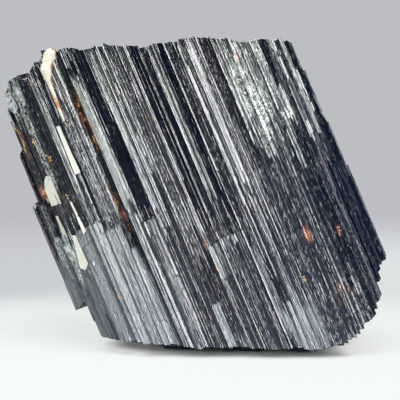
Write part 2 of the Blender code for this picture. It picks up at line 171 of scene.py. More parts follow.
# Across from and to, height from and to, and how far the columns step out there, or in.
PLATES = [(7.2, 12.0, -20, 39.0, 0.5), (12.0, 15.0, -20, 36.9, 0.45), (15.0, 16.15, -20, 31.9, 0.5),
          (16.15, 17.1, -20, 29.5, 0.6), (17.1, 19.2, -20, 37.6, 0.3), (19.2, 21.85, -20, 35.7, 0.6),
          (21.85, 24.9, -20, 33.0, 0.3), (28.5, 30.8, -20, 26.8, 0.3), (30.8, 36.9, -20, 27.2, 0.4),
          (33.8, 35.9, 28.1, 39.1, -0.35), (36.9, 38.6, 11.6, 16.3, -0.6),
          (38.6, 39.3, 32.5, 38.2, 0.25), (26.4, 27.2, 6.5, 8.2, -0.5), (24.9, 26.4, 6.8, 16.3, 0.3),
          (42.9, 46.7, 46.7, 90, -0.25), (47.7, 49.6, 40.2, 90, -0.2), (12.0, 13.9, 58.5, 90, 0.45)]
# The left flank is set in, and steps out or in at each of these heights.
LEFT_FLANK = [(25.5, 2.9), (46.7, -1.5), (57.0, -1.0)]
LEFT_FLANK_ACROSS = 2.0
LEFT_FLANK_SET_IN = -2.4
# Along the front, across and height: where the columns end at the top, and at the bottom.
TOPS = [(0, 65.0), (1.5, 65.7), (2.3, 66.3), (3.8, 68.8), (5.5, 69.9), (7.2, 70.3), (8.5, 69.5),
        (9.5, 68.8), (10.4, 69.4), (10.8, 70.6), (12.4, 70.9), (13.4, 71.3), (13.9, 72.4),
        (14.4, 72.6), (15.2, 71.8),
        (17.3, 71.4), (19.2, 71.1), (20.5, 70.3), (21.5, 69.7), (25.3, 69.2), (26.2, 68.4),
        (27.5, 68.0), (28.5, 67.3), (31, 66.3), (32.9, 65.5), (34.8, 65.2), (36.7, 64.6),
        (40.5, 63.9), (42.4, 63.5), (44.3, 62.5), (46.2, 61.6), (48.1, 60.4), (49.6, 59.6),
        (50.5, 58.9), (52.3, 59.0), (53.8, 58.2), (55.7, 57.6), (57.0, 57.6), (58.8, 58.2)]
FRONT_BOTTOMS = [(0, 19.4), (2.3, 18.4), (10.1, 15.2), (12, 13.8), (13, 13.3), (17.7, 11.3),
                 (18.6, 10.2), (21.5, 9.2), (24.3, 8.2), (27.2, 6.8), (29.1, 5.8), (32.9, 4.2),
                 (36.7, 2.7), (38.6, 1.5), (40.5, 0.6), (42.4, 0.6), (46.2, 0.2), (47.7, 0.6),
                 (48.6, 1.0), (50.2, 1.9), (51.4, 2.3), (52.75, 2.8), (52.85, 4.0), (54.2, 4.8),
                 (55.15, 5.3), (55.25, 7.6), (56.6, 8.6), (57.8, 9.6)]
# Across, and how far the lower ends behind the front stay clear of the ground.
LIFTS = [(0, 2.6), (3, 1.5), (8, 1.7), (14, 1.3), (20, 0.9), (40, 0.9), (44, 2.8), (48, 6.0),
         (51, 8.8), (54, 12.2), (55.2, 13.2), (55.4, 15.6), (56.6, 16.8), (58.0, 18.0), (58.8, 18.8)]
# Depths up to which a column is a front one, and up to which it shows from the front.
FRONT_LIMIT, SEEN_LIMIT = 5.0, 13.0


def table(pairs, across):
    """A value read off a list of (across, value) pairs."""
    places, values = zip(*pairs)
    return np.interp(across, places, values)


print(len(FRONT), "front columns,", len(PLATES), "plates, top up to", max(top for _, top in TOPS), "mm")

# %% Lay the columns round the block
SEED = 11
# A front column wider than this has a ridge along its middle, and a turned one's edge comes out
# no more than so far.
FRONT_RIDGE, WIDE_COLUMN, MOST_TURNED = (0.04, 0.12), 1.3, 0.45
BACK_WIDTH, BACK_TURN, BACK_RIDGE, BACK_STAND_OUT = (1.1, 3.4), (-16.0, 16.0), (-0.1, 0.22), (-0.4, 0.2)
# Columns behind the front stand out or in together, in bundles, which are nearly level on the
# right flank.
BUNDLE, BUNDLE_STAND_OUT = (3, 7), (-1.5, 0.3)
RIGHT_FLANK_ACROSS, RIGHT_FLANK_SHARE = 53.0, 0.2
# The right flank is set back a little more at each of these heights: height, step.
RIGHT_TAPER = [(31.0, -0.25), (42.0, -0.3), (50.5, -0.35)]
RIGHT_TAPER_ACROSS, TAPER_SPREAD = 57.0, 3.0
RING_DEPTH = (3.4, 4.1)  # how far in an outer column's broken end reaches


class Column:
    """One outer column: where it is on the outline, and how it is set."""

    def __init__(self, start, end, stand_out, turn, ridge):
        self.start, self.end, self.width = start, end, end - start
        self.stand_out, self.turn, self.ridge = stand_out, turn, ridge
        self.middle = outline.at((start + end) / 2)
        self.sides = outline.at(np.array([start, end]))
        self.front = self.middle[1] < FRONT_LIMIT
        self.seen = self.middle[1] < SEEN_LIMIT


def lay_back_columns(s, rng):
    """Columns of the right flank, the back and the left flank, in bundles."""
    columns = []
    bundle, left = 0.0, 0
    while s < outline.length:
        end = s + rng.uniform(*BACK_WIDTH)
        if end > outline.length - BACK_WIDTH[0]:
            end = outline.length
        if left == 0:
            bundle = rng.uniform(*BUNDLE_STAND_OUT)
            left = int(rng.integers(*BUNDLE))
        if outline.at(s)[0] > RIGHT_FLANK_ACROSS:
            bundle *= RIGHT_FLANK_SHARE
        left -= 1
        stand_out = bundle + rng.uniform(*BACK_STAND_OUT)
        columns.append(Column(s, end, stand_out, rng.uniform(*BACK_TURN), rng.uniform(*BACK_RIDGE)))
        s = end
    return columns


print("back columns", BACK_WIDTH, "mm wide, in bundles of", BUNDLE[0], "to", BUNDLE[1] - 1)

# %% Break the columns off
# How much higher or lower single columns end than the lists say, and how they slant.
FRONT_TOP, FRONT_BOTTOM, BACK_TOP, BACK_BOTTOM = (-0.25, 0.25), (-0.2, 0.2), (-1.6, 0.0), (-0.3, 0.9)
TOP_FALL, LEAST_CLEARANCE = 0.03, 0.4  # lower top for each mm to the back, and gap to the ground
BOTTOM_SLANT, TOP_SLANT, LEDGE_SLANT, MOST_SLANT = 0.12, 0.25, 0.5, 0.6
CORNER_ACROSS = 50.0  # beyond it the lower ends slant with the corner they make up
# How many ledges a column has and how far it steps there, and the least distances between them.
FRONT_LEDGES, BACK_LEDGES, FRONT_STEP, BACK_STEP = (0, 3), (1, 4), 0.22, 0.6
LEDGE_TO_END, LEDGE_TO_LEDGE, LOOSE_TO_END = 0.8, 1.0, 2.5
MOST_IN, MOST_OUT = -2.5, 0.6


def lower_end(place, front):
    """Height of a column's lower end at a place, before its own unevenness."""
    across, depth = place
    if front:
        return table(FRONT_BOTTOMS, across)
    return ground_height(across, depth) + table(LIFTS, across)


def limited(slope):
    """A slope held within the steepest that an end can have."""
    return min(max(slope, -MOST_SLANT), MOST_SLANT)


def end_column(column, rng):
    """Heights of a column's two broken ends, with how much each one slants."""
    across, depth = column.middle
    top = table(TOPS, across)
    ground = ground_height(across, depth)
    bottom = lower_end(column.middle, column.front)
    if column.front:
        top += rng.uniform(*FRONT_TOP)
        bottom += rng.uniform(*FRONT_BOTTOM)
    else:
        top += rng.uniform(*BACK_TOP) - TOP_FALL * depth
        bottom += rng.uniform(*BACK_BOTTOM)
    column.marks = [max(bottom, ground + LEAST_CLEARANCE), top]
    left, right = column.sides
    slope = (ground_height(*right) - ground_height(*left)) / column.width
    if across > CORNER_ACROSS:
        slope = limited((lower_end(right, column.front) - lower_end(left, column.front)) / column.width)
    top_slope = limited((table(TOPS, right[0]) - table(TOPS, left[0])) / column.width)
    column.slants = [slope + rng.uniform(-BOTTOM_SLANT, BOTTOM_SLANT),
                     top_slope + rng.uniform(-TOP_SLANT, TOP_SLANT)]


def column_steps(column, rng):
    """Heights at which a column steps out or in, with how far, in no order."""
    across = column.middle[0]
    if across < LEFT_FLANK_ACROSS:
        column.stand_out = LEFT_FLANK_SET_IN
        return list(LEFT_FLANK)
    if across > RIGHT_TAPER_ACROSS:
        return [(place + rng.uniform(-TAPER_SPREAD, TAPER_SPREAD), step) for place, step in RIGHT_TAPER]
    steps = []
    if column.front:
        for start, end, bottom, top, out in PLATES:
            if start < across < end:
                steps += [(bottom, out), (top, -out)]
    low, high = column.marks
    size = FRONT_STEP if column.front else BACK_STEP
    if across > RIGHT_FLANK_ACROSS:
        size *= RIGHT_FLANK_SHARE
    for _ in range(rng.integers(*(FRONT_LEDGES if column.front else BACK_LEDGES))):
        place = rng.uniform(low + LOOSE_TO_END, high - LOOSE_TO_END)
        steps.append((place, rng.uniform(-size, size)))
    return steps


def break_column(column, rng):
    """Where pieces of a column have come away: its ledges, and the level between them."""
    steps = sorted(column_steps(column, rng))
    low, high = column.marks
    ledges = []
    levels = [column.stand_out]
    for place, step in steps:
        if place > high - LEDGE_TO_END:
            continue
        crowded = ledges and place - ledges[-1] < LEDGE_TO_LEDGE
        if place < low + LEDGE_TO_END or crowded:
            levels[-1] += step
        else:
            ledges.append(place)
            levels.append(levels[-1] + step)
    column.levels = [min(max(level, MOST_IN), MOST_OUT) for level in levels]
    slants = [rng.uniform(-LEDGE_SLANT, LEDGE_SLANT) for _ in ledges]
    column.marks = [low] + ledges + [high]
    column.slants = [column.slants[0]] + slants + [column.slants[1]]


def lay_columns(rng):
    """All outer columns in order around the block, the front ones from their list."""
    edges = [outline.front(row[0]) for row in FRONT] + [outline.front(FRONT_END)]
    columns = []
    for k, (_, stand_out, turn) in enumerate(FRONT):
        width = edges[k + 1] - edges[k]
        ridge = rng.uniform(*FRONT_RIDGE) if width > WIDE_COLUMN else 0.0
        columns.append(Column(edges[k], edges[k + 1], stand_out, turn, ridge))
    columns += lay_back_columns(edges[-1], rng)
    for column in columns:
        column.reach = rng.uniform(*RING_DEPTH)
        end_column(column, rng)
        break_column(column, rng)
    return columns


form = np.random.default_rng(SEED)
columns = lay_columns(form)
print(len(columns), "columns,", sum(column.front for column in columns), "of them on the front")

# %% [markdown]
# ## Fine lines on every face
# The lines that make schorl glitter are growth steps: each face is really a stack of narrow
# strips, tipped one way and then the other. Light from one side catches every second strip
# and leaves the rest black. Here each column is cut into strips of uneven width, tipped in
# turn to the left and to the right, and each strip slowly changes its tilt as it runs up.
# Narrow grooves are let in between them, shallower where a face is finely etched. Small chips
# are let in too, long and square-ended, as they break off along the lines. Each area of the
# front has its own finish, and a list says where: satin where the face is finely etched,
# lined, dark and glassy, frosted with crumbs, or grainy where it is broken.

# %% Finishes, and where each one lies on the front
# For each: satin, grain, how pale, how far its fine strips tip in degrees, how much of its column's turn it
# keeps, and how far it is turned to the right on top of that in degrees. The last two are how much gloss dust
# and pits leave it, and how much frost of crumbs it has. How pale is painted into the colour. It is partly
# the etched stone's own grey and partly a painted sheen that stands for what the fine lines reflect.
SATIN, GRAIN, PALE_SHEEN, TIP, KEPT_TURN, OWN_TURN, GLOSS, FROST = range(8)
CLEAN = (1.0, 0.0)
FINISHES = {"satin": (0.85, 0.45, 1.10, 5.5, 0.4, 12, *CLEAN),
            "etched": (0.80, 0.10, 0.85, 5.0, 0.5, 5, *CLEAN),
            "slate": (0.40, 0.15, 0.50, 9.0, 0.6, 6, *CLEAN),
            "lined": (0.10, 0.15, 0.22, 16.0, 0.7, 0, *CLEAN),
            "low": (0.15, 0.30, 0.14, 13.0, 0.5, -7, 0.75, 0.0),
            "dark": (0.06, 0.10, 0.03, 5.0, 0.3, -10, 0.7, 0.0),
            "grainy": (0.25, 0.70, 0.30, 14.0, 0.6, -1, 0.9, 0.0),
            "pitted": (0.40, 0.60, 0.05, 12.0, 0.2, -15, 0.7, 0.0),
            "bright": (0.15, 0.25, 0.55, 14.0, 0.8, 5, *CLEAN),
            "glitter": (0.12, 0.45, 1.00, 14.0, 0.5, 15, 1.0, 0.25),
            "dim": (0.30, 0.50, 0.05, 12.0, 0.3, -12, 0.7, 0.0),
            "plain": (0.12, 0.20, 0.10, 12.0, 0.6, -6, 0.8, 0.0),
            "shaded": (0.25, 0.60, 0.03, 12.0, 0.1, -36, 0.3, 0.0),
            "flank": (0.20, 0.40, 0.03, 8.0, 0.1, 0, 0.12, 0.0),
            "plate": (0.85, 0.50, 1.80, 3.0, 0.2, 25, *CLEAN),
            "side_plate": (0.85, 0.50, 1.80, 3.0, 0.2, 36, *CLEAN),
            "film": (0.60, 0.30, 1.60, 5.0, 0.2, 5, 1.0, 0.8),
            "frosted": (0.20, 0.90, 0.70, 14.0, 0.4, 17, 1.0, 1.0),
            "mottled": (0.10, 0.40, 0.45, 22.0, 0.7, 26, 1.0, 0.3),
            "wedge": (0.70, 0.20, 0.75, 4.0, 0.4, 1, *CLEAN),
            "rim": (0.15, 0.25, 0.80, 7.0, 0.3, -38, *CLEAN)}
# Across from and to, height from and to, and the finish; a later patch covers an earlier one,
# and what no patch covers is plain.
PATCHES = [(43, 50, 11, 40, "pitted"), (50, 54.8, -5, 41, "shaded"),
           (54.8, 60, -5, 44, "flank"), (-1, 3.8, 38, 64, "dim"), (-1, 3.0, 20, 33, "etched"),
           (3.0, 4.6, 20, 33, "slate"), (2.4, 4.6, 14, 24, "etched"), (1.5, 6.2, 31.5, 38.5, "film"),
           (3.8, 5.5, 47, 63.5, "dim"), (3.4, 7.4, 63.5, 70, "film"), (5.7, 7.0, 47, 66, "mottled"),
           (7.4, 9.7, 39, 70, "dim"), (9.7, 10.4, 40, 69, "slate"), (10.4, 12, 39, 71, "lined"),
           (12.4, 13.9, 37, 58, "grainy"), (13.9, 16.1, 37, 72, "grainy"),
           (17.1, 18.8, 37, 66, "satin"), (18.8, 19.2, 37, 72, "slate"), (17.1, 18.8, 66, 72, "dark"),
           (19.2, 21.8, 35.7, 72, "dark"), (21.8, 24.1, 33, 70, "slate"), (24.1, 25.6, 45, 70, "slate"),
           (25.6, 27.2, 18, 69, "grainy"), (27.2, 29.1, 28, 69, "lined"), (29.1, 30.8, 30, 68, "dark"),
           (30.8, 31.2, 28, 67, "bright"), (31.2, 32.3, 30, 67, "dark"), (32.3, 33.8, 36, 66, "slate"),
           (33.8, 35.5, 28, 66, "dark"), (35.5, 35.9, 30, 65, "bright"), (35.9, 37.8, 28, 65, "pitted"),
           (37.8, 40.5, 32, 64, "slate"), (40.5, 42, 20, 64, "grainy"), (42, 43.9, 47, 63, "pitted"),
           (43.9, 45.3, 42, 56, "glitter"), (43.9, 51.5, 56, 63, "slate"),
           (45.3, 50.0, 43, 58, "frosted"), (45.7, 47.9, 39.5, 43, "frosted"),
           (48.7, 50.0, 38, 43, "glitter"), (50.5, 52.2, 44, 58, "frosted"),
           (50.4, 51.6, 32, 44, "bright"), (52.2, 53.4, 44, 51, "glitter"),
           (52.2, 53.8, 51, 60, "shaded"), (53.4, 54.2, 38, 52, "shaded"),
           (54.2, 55.3, 36, 59, "bright"), (55.3, 56.1, 30, 60, "shaded"), (56.1, 56.7, 36, 60, "rim"),
           (56.7, 57.2, 40, 60, "plain"), (57.2, 57.75, 45, 60, "rim"), (57.75, 60, 44, 60, "flank"),
           (3.8, 7.2, 14, 32, "etched"), (16.1, 17.1, 8, 29, "slate"), (28.5, 36.9, 2, 17, "low"),
           (24.9, 36.9, 17, 28, "low"), (24.9, 28.5, 8, 26, "dim"), (26.4, 28.5, 4, 9, "wedge"),
           (36.9, 43, -1, 12, "wedge"), (36.9, 43, 12, 30, "low"), (43, 52, 1, 12, "dim"),
           (35.5, 36.9, 4, 26, "slate"), (13.9, 16.1, 60, 73, "slate"), (54.6, 55.1, 40, 59, "rim")]
# Patches that end cleanly at a ledge, where the plate in front of them has broken off.
LEDGE_PATCHES = [(7.2, 9.7, -20, 39.0, "side_plate"), (9.7, 12.0, -20, 39.0, "plate"),
                 (12.0, 15.0, -20, 36.9, "satin"), (15.0, 16.2, -20, 31.9, "satin"),
                 (17.1, 19.2, -20, 37.6, "slate"), (19.2, 21.8, -20, 35.7, "slate"),
                 (21.8, 24.9, -20, 33.0, "low"), (28.5, 30.8, 20.0, 26.8, "slate"),
                 (31.2, 34.0, 25.0, 27.2, "bright"), (36.9, 38.6, 11.6, 16.3, "dark"),
                 (24.9, 26.4, 6.8, 16.3, "satin"), (42.0, 43.9, 49.0, 58.0, "pitted"),
                 (38.6, 39.3, 32.5, 38.2, "bright")]
PATCH_RAGGED = 3.5  # how uneven the ends of a patch are from strip to strip, mm


def finish_of(across, heights, rng):
    """The finish of each row down one line of the front."""
    values = np.tile(FINISHES["plain"], (len(heights), 1))
    ragged = rng.uniform(-PATCH_RAGGED, PATCH_RAGGED, 2)
    for start, end, low, high, name in PATCHES:
        if start <= across < end:
            inside = (heights > low + ragged[0]) & (heights < high + ragged[1])
            values[inside] = FINISHES[name]
    for start, end, low, high, name in LEDGE_PATCHES:
        if start <= across < end:
            values[(heights > low) & (heights < high)] = FINISHES[name]
    return values


print(len(PATCHES), "patches of", len(FINISHES), "finishes")

# %% Rows up a column
LEDGE, SEAM = 0.04, 0.03  # half the height of a ledge, and half the width of the slope between columns
FINE_ROWS = 114
END_RAGGED = 0.08  # how uneven a broken end or ledge is from line to line, mm


def share_rows(stretches, spare):
    """Deal spare rows out over the stretches between ledges, the longest first."""
    share = [0] * len(stretches)
    for _ in range(spare):
        k = max(range(len(stretches)), key=lambda n: stretches[n] / (share[n] + 1))
        share[k] += 1
    return share


def line_rows(column, u, share, rng):
    """Heights of the rows up one line of a column, and which level each belongs to."""
    lean = [h + slant * (u - 0.5) * column.width + rng.uniform(-END_RAGGED, END_RAGGED)
            for h, slant in zip(column.marks, column.slants)]
    heights, owners = [], []
    for k, rows in enumerate(share):
        low = lean[k] + (LEDGE if k else 0.0)
        high = lean[k + 1] - (LEDGE if k + 1 < len(share) else 0.0)
        heights.append(np.linspace(low, high, rows + 2))
        owners.append(np.full(rows + 2, k))
    return np.concatenate(heights), np.concatenate(owners)


print(FINE_ROWS, "rows up each line")

# %% Fine strips across a column
FRONT_STRIP, BACK_STRIP = (0.09, 0.46), (0.25, 1.0)  # widths of the strips, mm
COLUMN_LENGTH, SWELL = 60.0, 9.0  # mm, and mm of it for each slow change in a strip's tilt
TILT_RANGE = (0.0, 1.8)
BREAKS = (3, 12)  # sudden changes along a strip
BACK_FINISH = (0.3, 0.35, 13.0, 1.0, 0.0)  # as in the list of finishes, without pale, gloss and frost
# Paleness here and below is partly the etched stone's grey and partly painted sheen.
BACK_PALE_SHEEN = (0.05, 0.7)
PALE_SHEEN_VARIES, SATIN_VARIES = (0.2, 1.6), (0.5, 1.4)  # from strip to strip and up each one
FLANK_GLOSS = 0.5  # the right flank is dusty
GROOVE_SHARE, GROOVE_WIDTH, GROOVE_SLOPE = 0.3, (0.05, 0.15), (0.6, 1.7)
GROOVE_REACH = (-0.6, 1.8)  # held between 0 and 1, so a groove comes and goes along its column
FULL_GROOVE_TILT = 10.0  # degrees; where strips tip less than this the grooves are shallower too
CHIPS_PER_MM2 = 0.035
CHIP_START, CHIP_WIDTH = (0.0, 0.8), (0.15, 0.5)  # shares of the column's width
CHIP_LENGTH, CHIP_DEPTH = (1.0, 7.0), (0.04, 0.16)
GRAIN_DEPTH = 0.035


def strip_edges(column, rng):
    """Where a column's strips begin and end, from 0 to 1 across it, and how steeply each dips."""
    least, most = FRONT_STRIP if column.seen else BACK_STRIP
    widths, dips = [], []
    while sum(widths) < column.width:
        widths.append(least * (most / least) ** rng.random())
        dips.append(0.0)
        if rng.random() < GROOVE_SHARE:
            slope = rng.uniform(*GROOVE_SLOPE)
            widths += list(rng.uniform(*GROOVE_WIDTH, 2))
            dips += [-slope, slope * widths[-2] / widths[-1]]
    edges = np.concatenate([[0.0], np.cumsum(widths)])
    return edges / edges[-1], dips


def along_strip(low, high, rng):
    """A value at each row of a strip: half of it changes slowly, half of it in sudden steps."""
    rows = np.linspace(0, 1, FINE_ROWS)
    bends = int(COLUMN_LENGTH / SWELL) + 3
    slow = np.interp(rows, np.linspace(0, 1, bends), rng.uniform(low, high, bends))
    breaks = np.sort(rng.random(rng.integers(*BREAKS)))
    steps = rng.uniform(low, high, len(breaks) + 1)[np.searchsorted(breaks, rows)]
    return (slow + steps) / 2


def strip_relief(column, edges, dips, rng):
    """How far out each line lies for a tilt of one, and how far in for the grooves."""
    relief, groove = [np.zeros(FINE_ROWS)], [np.zeros(FINE_ROWS)]
    side = rng.choice((-1.0, 1.0))
    reach = np.ones(FINE_ROWS)
    for width, dip in zip(np.diff(edges) * column.width, dips):
        tilt = side * width * along_strip(*TILT_RANGE, rng) if dip == 0 else 0.0
        relief.append(relief[-1] + tilt)
        if dip < 0:
            reach = np.clip(along_strip(*GROOVE_REACH, rng), 0, 1)
        groove.append(groove[-1] + dip * width * reach)
        side = -side
    relief = np.array(relief)
    return relief - edges[:, None] * relief[-1], np.array(groove)


def chips_of(column, rng):
    """Square-ended chips: from and to across the column, bottom, top, and depth."""
    low, high = column.marks[0], column.marks[-1]
    chips = []
    for _ in range(rng.poisson(CHIPS_PER_MM2 * column.width * (high - low))):
        start, place = rng.uniform(*CHIP_START), rng.uniform(low, high)
        chips.append((start, start + rng.uniform(*CHIP_WIDTH), place, place + rng.uniform(*CHIP_LENGTH),
                      rng.uniform(*CHIP_DEPTH)))
    return chips


def line_stand_out(column, u):
    """How far out a line lies from the outline, for the column's turn and ridge."""
    turned = math.tan(math.radians(column.turn)) * column.width * (u - 0.5)
    return np.clip(turned, -MOST_TURNED, MOST_TURNED) + column.ridge * (1 - abs(2 * u - 1))


def build_skin(rng):
    """Lines of vertices up the outer faces, the finish at each, and where the lines end."""
    lines, finishes, low_ends, high_ends = [], [], [], []
    for column in columns:
        stretches = np.diff(column.marks)
        share = share_rows(list(stretches), FINE_ROWS - 2 * len(stretches))
        chips = chips_of(column, rng)
        tone = rng.uniform(*BACK_PALE_SHEEN)
        gloss = FLANK_GLOSS if column.middle[0] > RIGHT_FLANK_ACROSS else 1.0
        edges, dips = strip_edges(column, rng)
        for u, relief, groove in zip(edges, *strip_relief(column, edges, dips, rng)):
            heights, owners = line_rows(column, u, share, rng)
            chord = (1 - u) * outline.at(column.start + SEAM) + u * outline.at(column.end - SEAM)
            out = outline.out(column.start + u * column.width + SEAM * (1 - 2 * u))
            if column.seen:
                finish = finish_of(chord[0], heights, rng)
            else:
                finish = np.tile((*BACK_FINISH[:2], tone, *BACK_FINISH[2:], gloss, 0.0), (len(heights), 1))
            finish[:, PALE_SHEEN] *= along_strip(*PALE_SHEEN_VARIES, rng)
            finish[:, SATIN] *= along_strip(*SATIN_VARIES, rng)
            relief = relief * np.tan(np.radians(finish[:, TIP]))
            relief += groove * np.clip(finish[:, TIP] / FULL_GROOVE_TILT, 0, 1)
            relief -= np.tan(np.radians(finish[:, OWN_TURN])) * column.width * (u - 0.5)
            relief += GRAIN_DEPTH * finish[:, GRAIN] * rng.uniform(-1, 1, len(heights))
            for start, end, low, high, depth in chips:
                if start <= u < end:
                    relief -= depth * ((heights > low) & (heights < high))
            stand = np.array(column.levels)[owners] + relief
            stand += finish[:, KEPT_TURN] * line_stand_out(column, u)
            lines.append(np.column_stack([chord + stand[:, None] * out, heights]))
            finishes.append(finish)
            inside = chord - column.reach * out
            low_ends.append([*inside, heights[0]])
            high_ends.append([*inside, heights[-1]])
    return np.array(lines), np.array(finishes), np.array(low_ends), np.array(high_ends)


fine = np.random.default_rng(SEED + 1)
skin, skin_finish, low_ring, high_ring = build_skin(fine)
print(skin.shape[0], "lines of", skin.shape[1], "rows;", 2 * skin.shape[0] * (skin.shape[1] + 1), "triangles")

# %% [markdown]
# ## The broken ends
# Both ends are a field of broken columns, each snapped at its own height. The middles are
# scattered thick and thin, and each inner column takes the ground nearest its own middle.
# In the middle of the base about half of them lie on the ground and carry the block. Each
# snapped face is then roughened with small facets, since schorl breaks like coarse glass.

# %% Outlines of the inner columns
# How far in they start, how wide they are, how many places are tried, and the gap between them.
CORE_DEPTH, CORE_SIZES, CORE_TRIES, CORE_GAP = 4.6, (2.2, 6.5), 900, 0.16
MORE_SMALL, NEIGHBOURS_WITHIN = 1.5, 26.0  # how much commoner small ones are, and mm to a neighbour
SMALLEST_END, SHORTEST_SIDE, BORDER_POINTS = 1.0, 0.25, 48
# The middle of the widest flat end that the block rests on, its size, and how near counts as it.
REST, REST_SIZE, REST_REACH = (24.0, 16.0), 8.0, 2.5


def cut_polygon(polygon, point, normal):
    """The part of a convex polygon that lies behind a line."""
    kept = []
    sides = [float(np.dot(corner - point, normal)) for corner in polygon]
    for k, corner in enumerate(polygon):
        following = polygon[(k + 1) % len(polygon)]
        side, next_side = sides[k], sides[(k + 1) % len(polygon)]
        if side <= 0:
            kept.append(corner)
        if side * next_side < 0:
            kept.append(corner + (following - corner) * side / (side - next_side))
    return kept


def core_seeds(rng, border, rest=None):
    """Middles of the inner columns, scattered thick and thin, one of them given if asked."""
    low, high = np.min(border, 0), np.max(border, 0)
    seeds, sizes = [], []
    if rest is not None:
        seeds, sizes = [np.array(rest)], [REST_SIZE]
    for _ in range(CORE_TRIES):
        spot = rng.uniform(low, high)
        size = CORE_SIZES[0] + (CORE_SIZES[1] - CORE_SIZES[0]) * rng.random() ** MORE_SMALL
        if all(np.linalg.norm(spot - s) > (size + r) / 2 for s, r in zip(seeds, sizes)):
            seeds.append(spot)
            sizes.append(size)
    return seeds


def polygon_area(polygon):
    """Area inside a polygon that runs anticlockwise."""
    across, depth = np.array(polygon).T
    return 0.5 * float(np.dot(across, np.roll(depth, -1)) - np.dot(np.roll(across, -1), depth))


def drop_short_sides(polygon):
    """A polygon without corners that crowd the one before."""
    kept = [polygon[0]]
    for corner in polygon[1:]:
        if np.linalg.norm(corner - kept[-1]) > SHORTEST_SIDE:
            kept.append(corner)
    if np.linalg.norm(kept[0] - kept[-1]) < SHORTEST_SIDE:
        kept.pop()
    return kept


def core_ends(rng, border, rest=None):
    """Outlines of the inner columns' ends, a hair apart from each other."""
    seeds = core_seeds(rng, border, rest)
    ends = []
    for seed in seeds:
        polygon = [np.array(corner) for corner in border]
        for other in seeds:
            gap = other - seed
            distance = np.linalg.norm(gap)
            if 0 < distance < NEIGHBOURS_WITHIN:
                normal = gap / distance
                polygon = cut_polygon(polygon, (seed + other) / 2 - normal * CORE_GAP / 2, normal)
        if len(polygon) > 2 and polygon_area(polygon) > SMALLEST_END:
            ends.append(drop_short_sides(polygon))
    return ends


ring = np.linspace(0, outline.length, BORDER_POINTS, endpoint=False)
inset = outline.at(ring) - CORE_DEPTH * outline.out(ring)
border = [inset[k] for k in convex_hull_2d([tuple(place) for place in inset])]
low_cells = core_ends(form, border, REST)
high_cells = core_ends(form, border)
print(len(low_cells), "inner columns at the base,", len(high_cells), "at the top")

# %% Heights of the inner columns, and their snapped faces
BASE = (12.0, 43.0, 7.0, 31.0)  # left, right, front and back of the part that carries the block
# At the top: how far below the front edge, what share lies deeper and how much, and the tilt.
CORE_TOP_DROP, DEEP_SHARE, DEEP_DROP, CORE_TILT = (0.4, 2.4), 0.2, (1.0, 3.5), 0.2
# At the base: what share is clear of the ground and how far, and how uneven the rest is.
RAISED_SHARE, RAISED, CORE_CLEARANCE = 0.45, (0.2, 0.9), (-0.5, 0.4)
SNAP_SPACING, SNAP_DEPTH = 0.8, 0.22
SAME_PLACE = 1e-7  # mm; points nearer than this are one


def top_heights(rng, polygon):
    """A broken, slightly tilted end at the top, lower than the front edge."""
    middle = np.mean(polygon, 0)
    height = table(TOPS, middle[0]) - TOP_FALL * middle[1] - rng.uniform(*CORE_TOP_DROP)
    if rng.random() < DEEP_SHARE:
        height -= rng.uniform(*DEEP_DROP)
    tilt = rng.uniform(-CORE_TILT, CORE_TILT, 2)
    return [height + float(np.dot(tilt, corner - middle)) for corner in polygon]


def bottom_heights(rng, polygon):
    """An end at the base: on the ground in the middle, clear of it towards the corners."""
    middle = np.mean(polygon, 0)
    left, right, front, back = BASE
    carries = left < middle[0] < right and front < middle[1] < back
    lift = rng.uniform(*RAISED) if rng.random() < RAISED_SHARE else 0.0
    if np.linalg.norm(middle - REST) < REST_REACH:
        lift = 0.0
    if not carries:
        lift = float(table(LIFTS, middle[0])) + rng.uniform(*CORE_CLEARANCE)
    return [float(ground_height(*corner)) + lift for corner in polygon]


def room_inside(corners, place):
    """How far inside an outline that runs anticlockwise a place is, from its nearest side."""
    side = np.roll(corners, -1, 0) - corners
    side /= np.linalg.norm(side, axis=1)[:, None]
    away = place - corners
    return (side[:, 0] * away[:, 1] - side[:, 1] * away[:, 0]).min()


def snapped_points(polygon, heights, rng, inward):
    """Points inside an end, with the small ups and downs of a snapped face."""
    corners = np.array(polygon)
    plane = np.linalg.lstsq(np.column_stack([corners, np.ones(len(corners))]), heights, rcond=None)[0]
    low, high = corners.min(0), corners.max(0)
    points = []
    for place in rng.uniform(low, high, (int(np.prod(high - low) / SNAP_SPACING**2), 2)):
        crowded = any(np.hypot(*(place - other[:2])) < SNAP_SPACING / 2 for other in points)
        if room_inside(corners, place) > SNAP_SPACING / 3 and not crowded:
            flat = float(plane @ [*place, 1])
            points.append((*place, flat + inward * rng.uniform(0, SNAP_DEPTH)))
    return points


def close_end(ring, polygons, heights, rng, inward):
    """Triangles that join the ring of outer ends and the inner columns' ends."""
    points = [tuple(place) for place in ring]
    edges = [(k, (k + 1) % len(ring)) for k in range(len(ring))]
    for polygon, tops in zip(polygons, heights):
        first = len(points)
        points += [(*corner, top) for corner, top in zip(polygon, tops)]
        edges += [(first + k, first + (k + 1) % len(polygon)) for k in range(len(polygon))]
        points += snapped_points(polygon, tops, rng, inward)
    flat, _, faces, *_ = delaunay_2d_cdt([place[:2] for place in points], edges, [], 1, SAME_PLACE)
    if len(flat) != len(points):
        raise RuntimeError("the ends overlap")
    return np.array(points), [tuple(face) for face in faces]


low_tops = [bottom_heights(form, cell) for cell in low_cells]
high_tops = [top_heights(form, cell) for cell in high_cells]
low_end, low_faces = close_end(low_ring, low_cells, low_tops, fine, 1)
high_end, high_faces = close_end(high_ring, high_cells, high_tops, fine, -1)
print(len(low_faces) + len(high_faces), "triangles close the ends")

# %% Join skin and ends into one crystal
LINES, ROWS = skin.shape[:2]
END_FINISH = (0.35, 0.8, 0.12, 0.0, 0.0, 0.0, 0.9, 0.0)


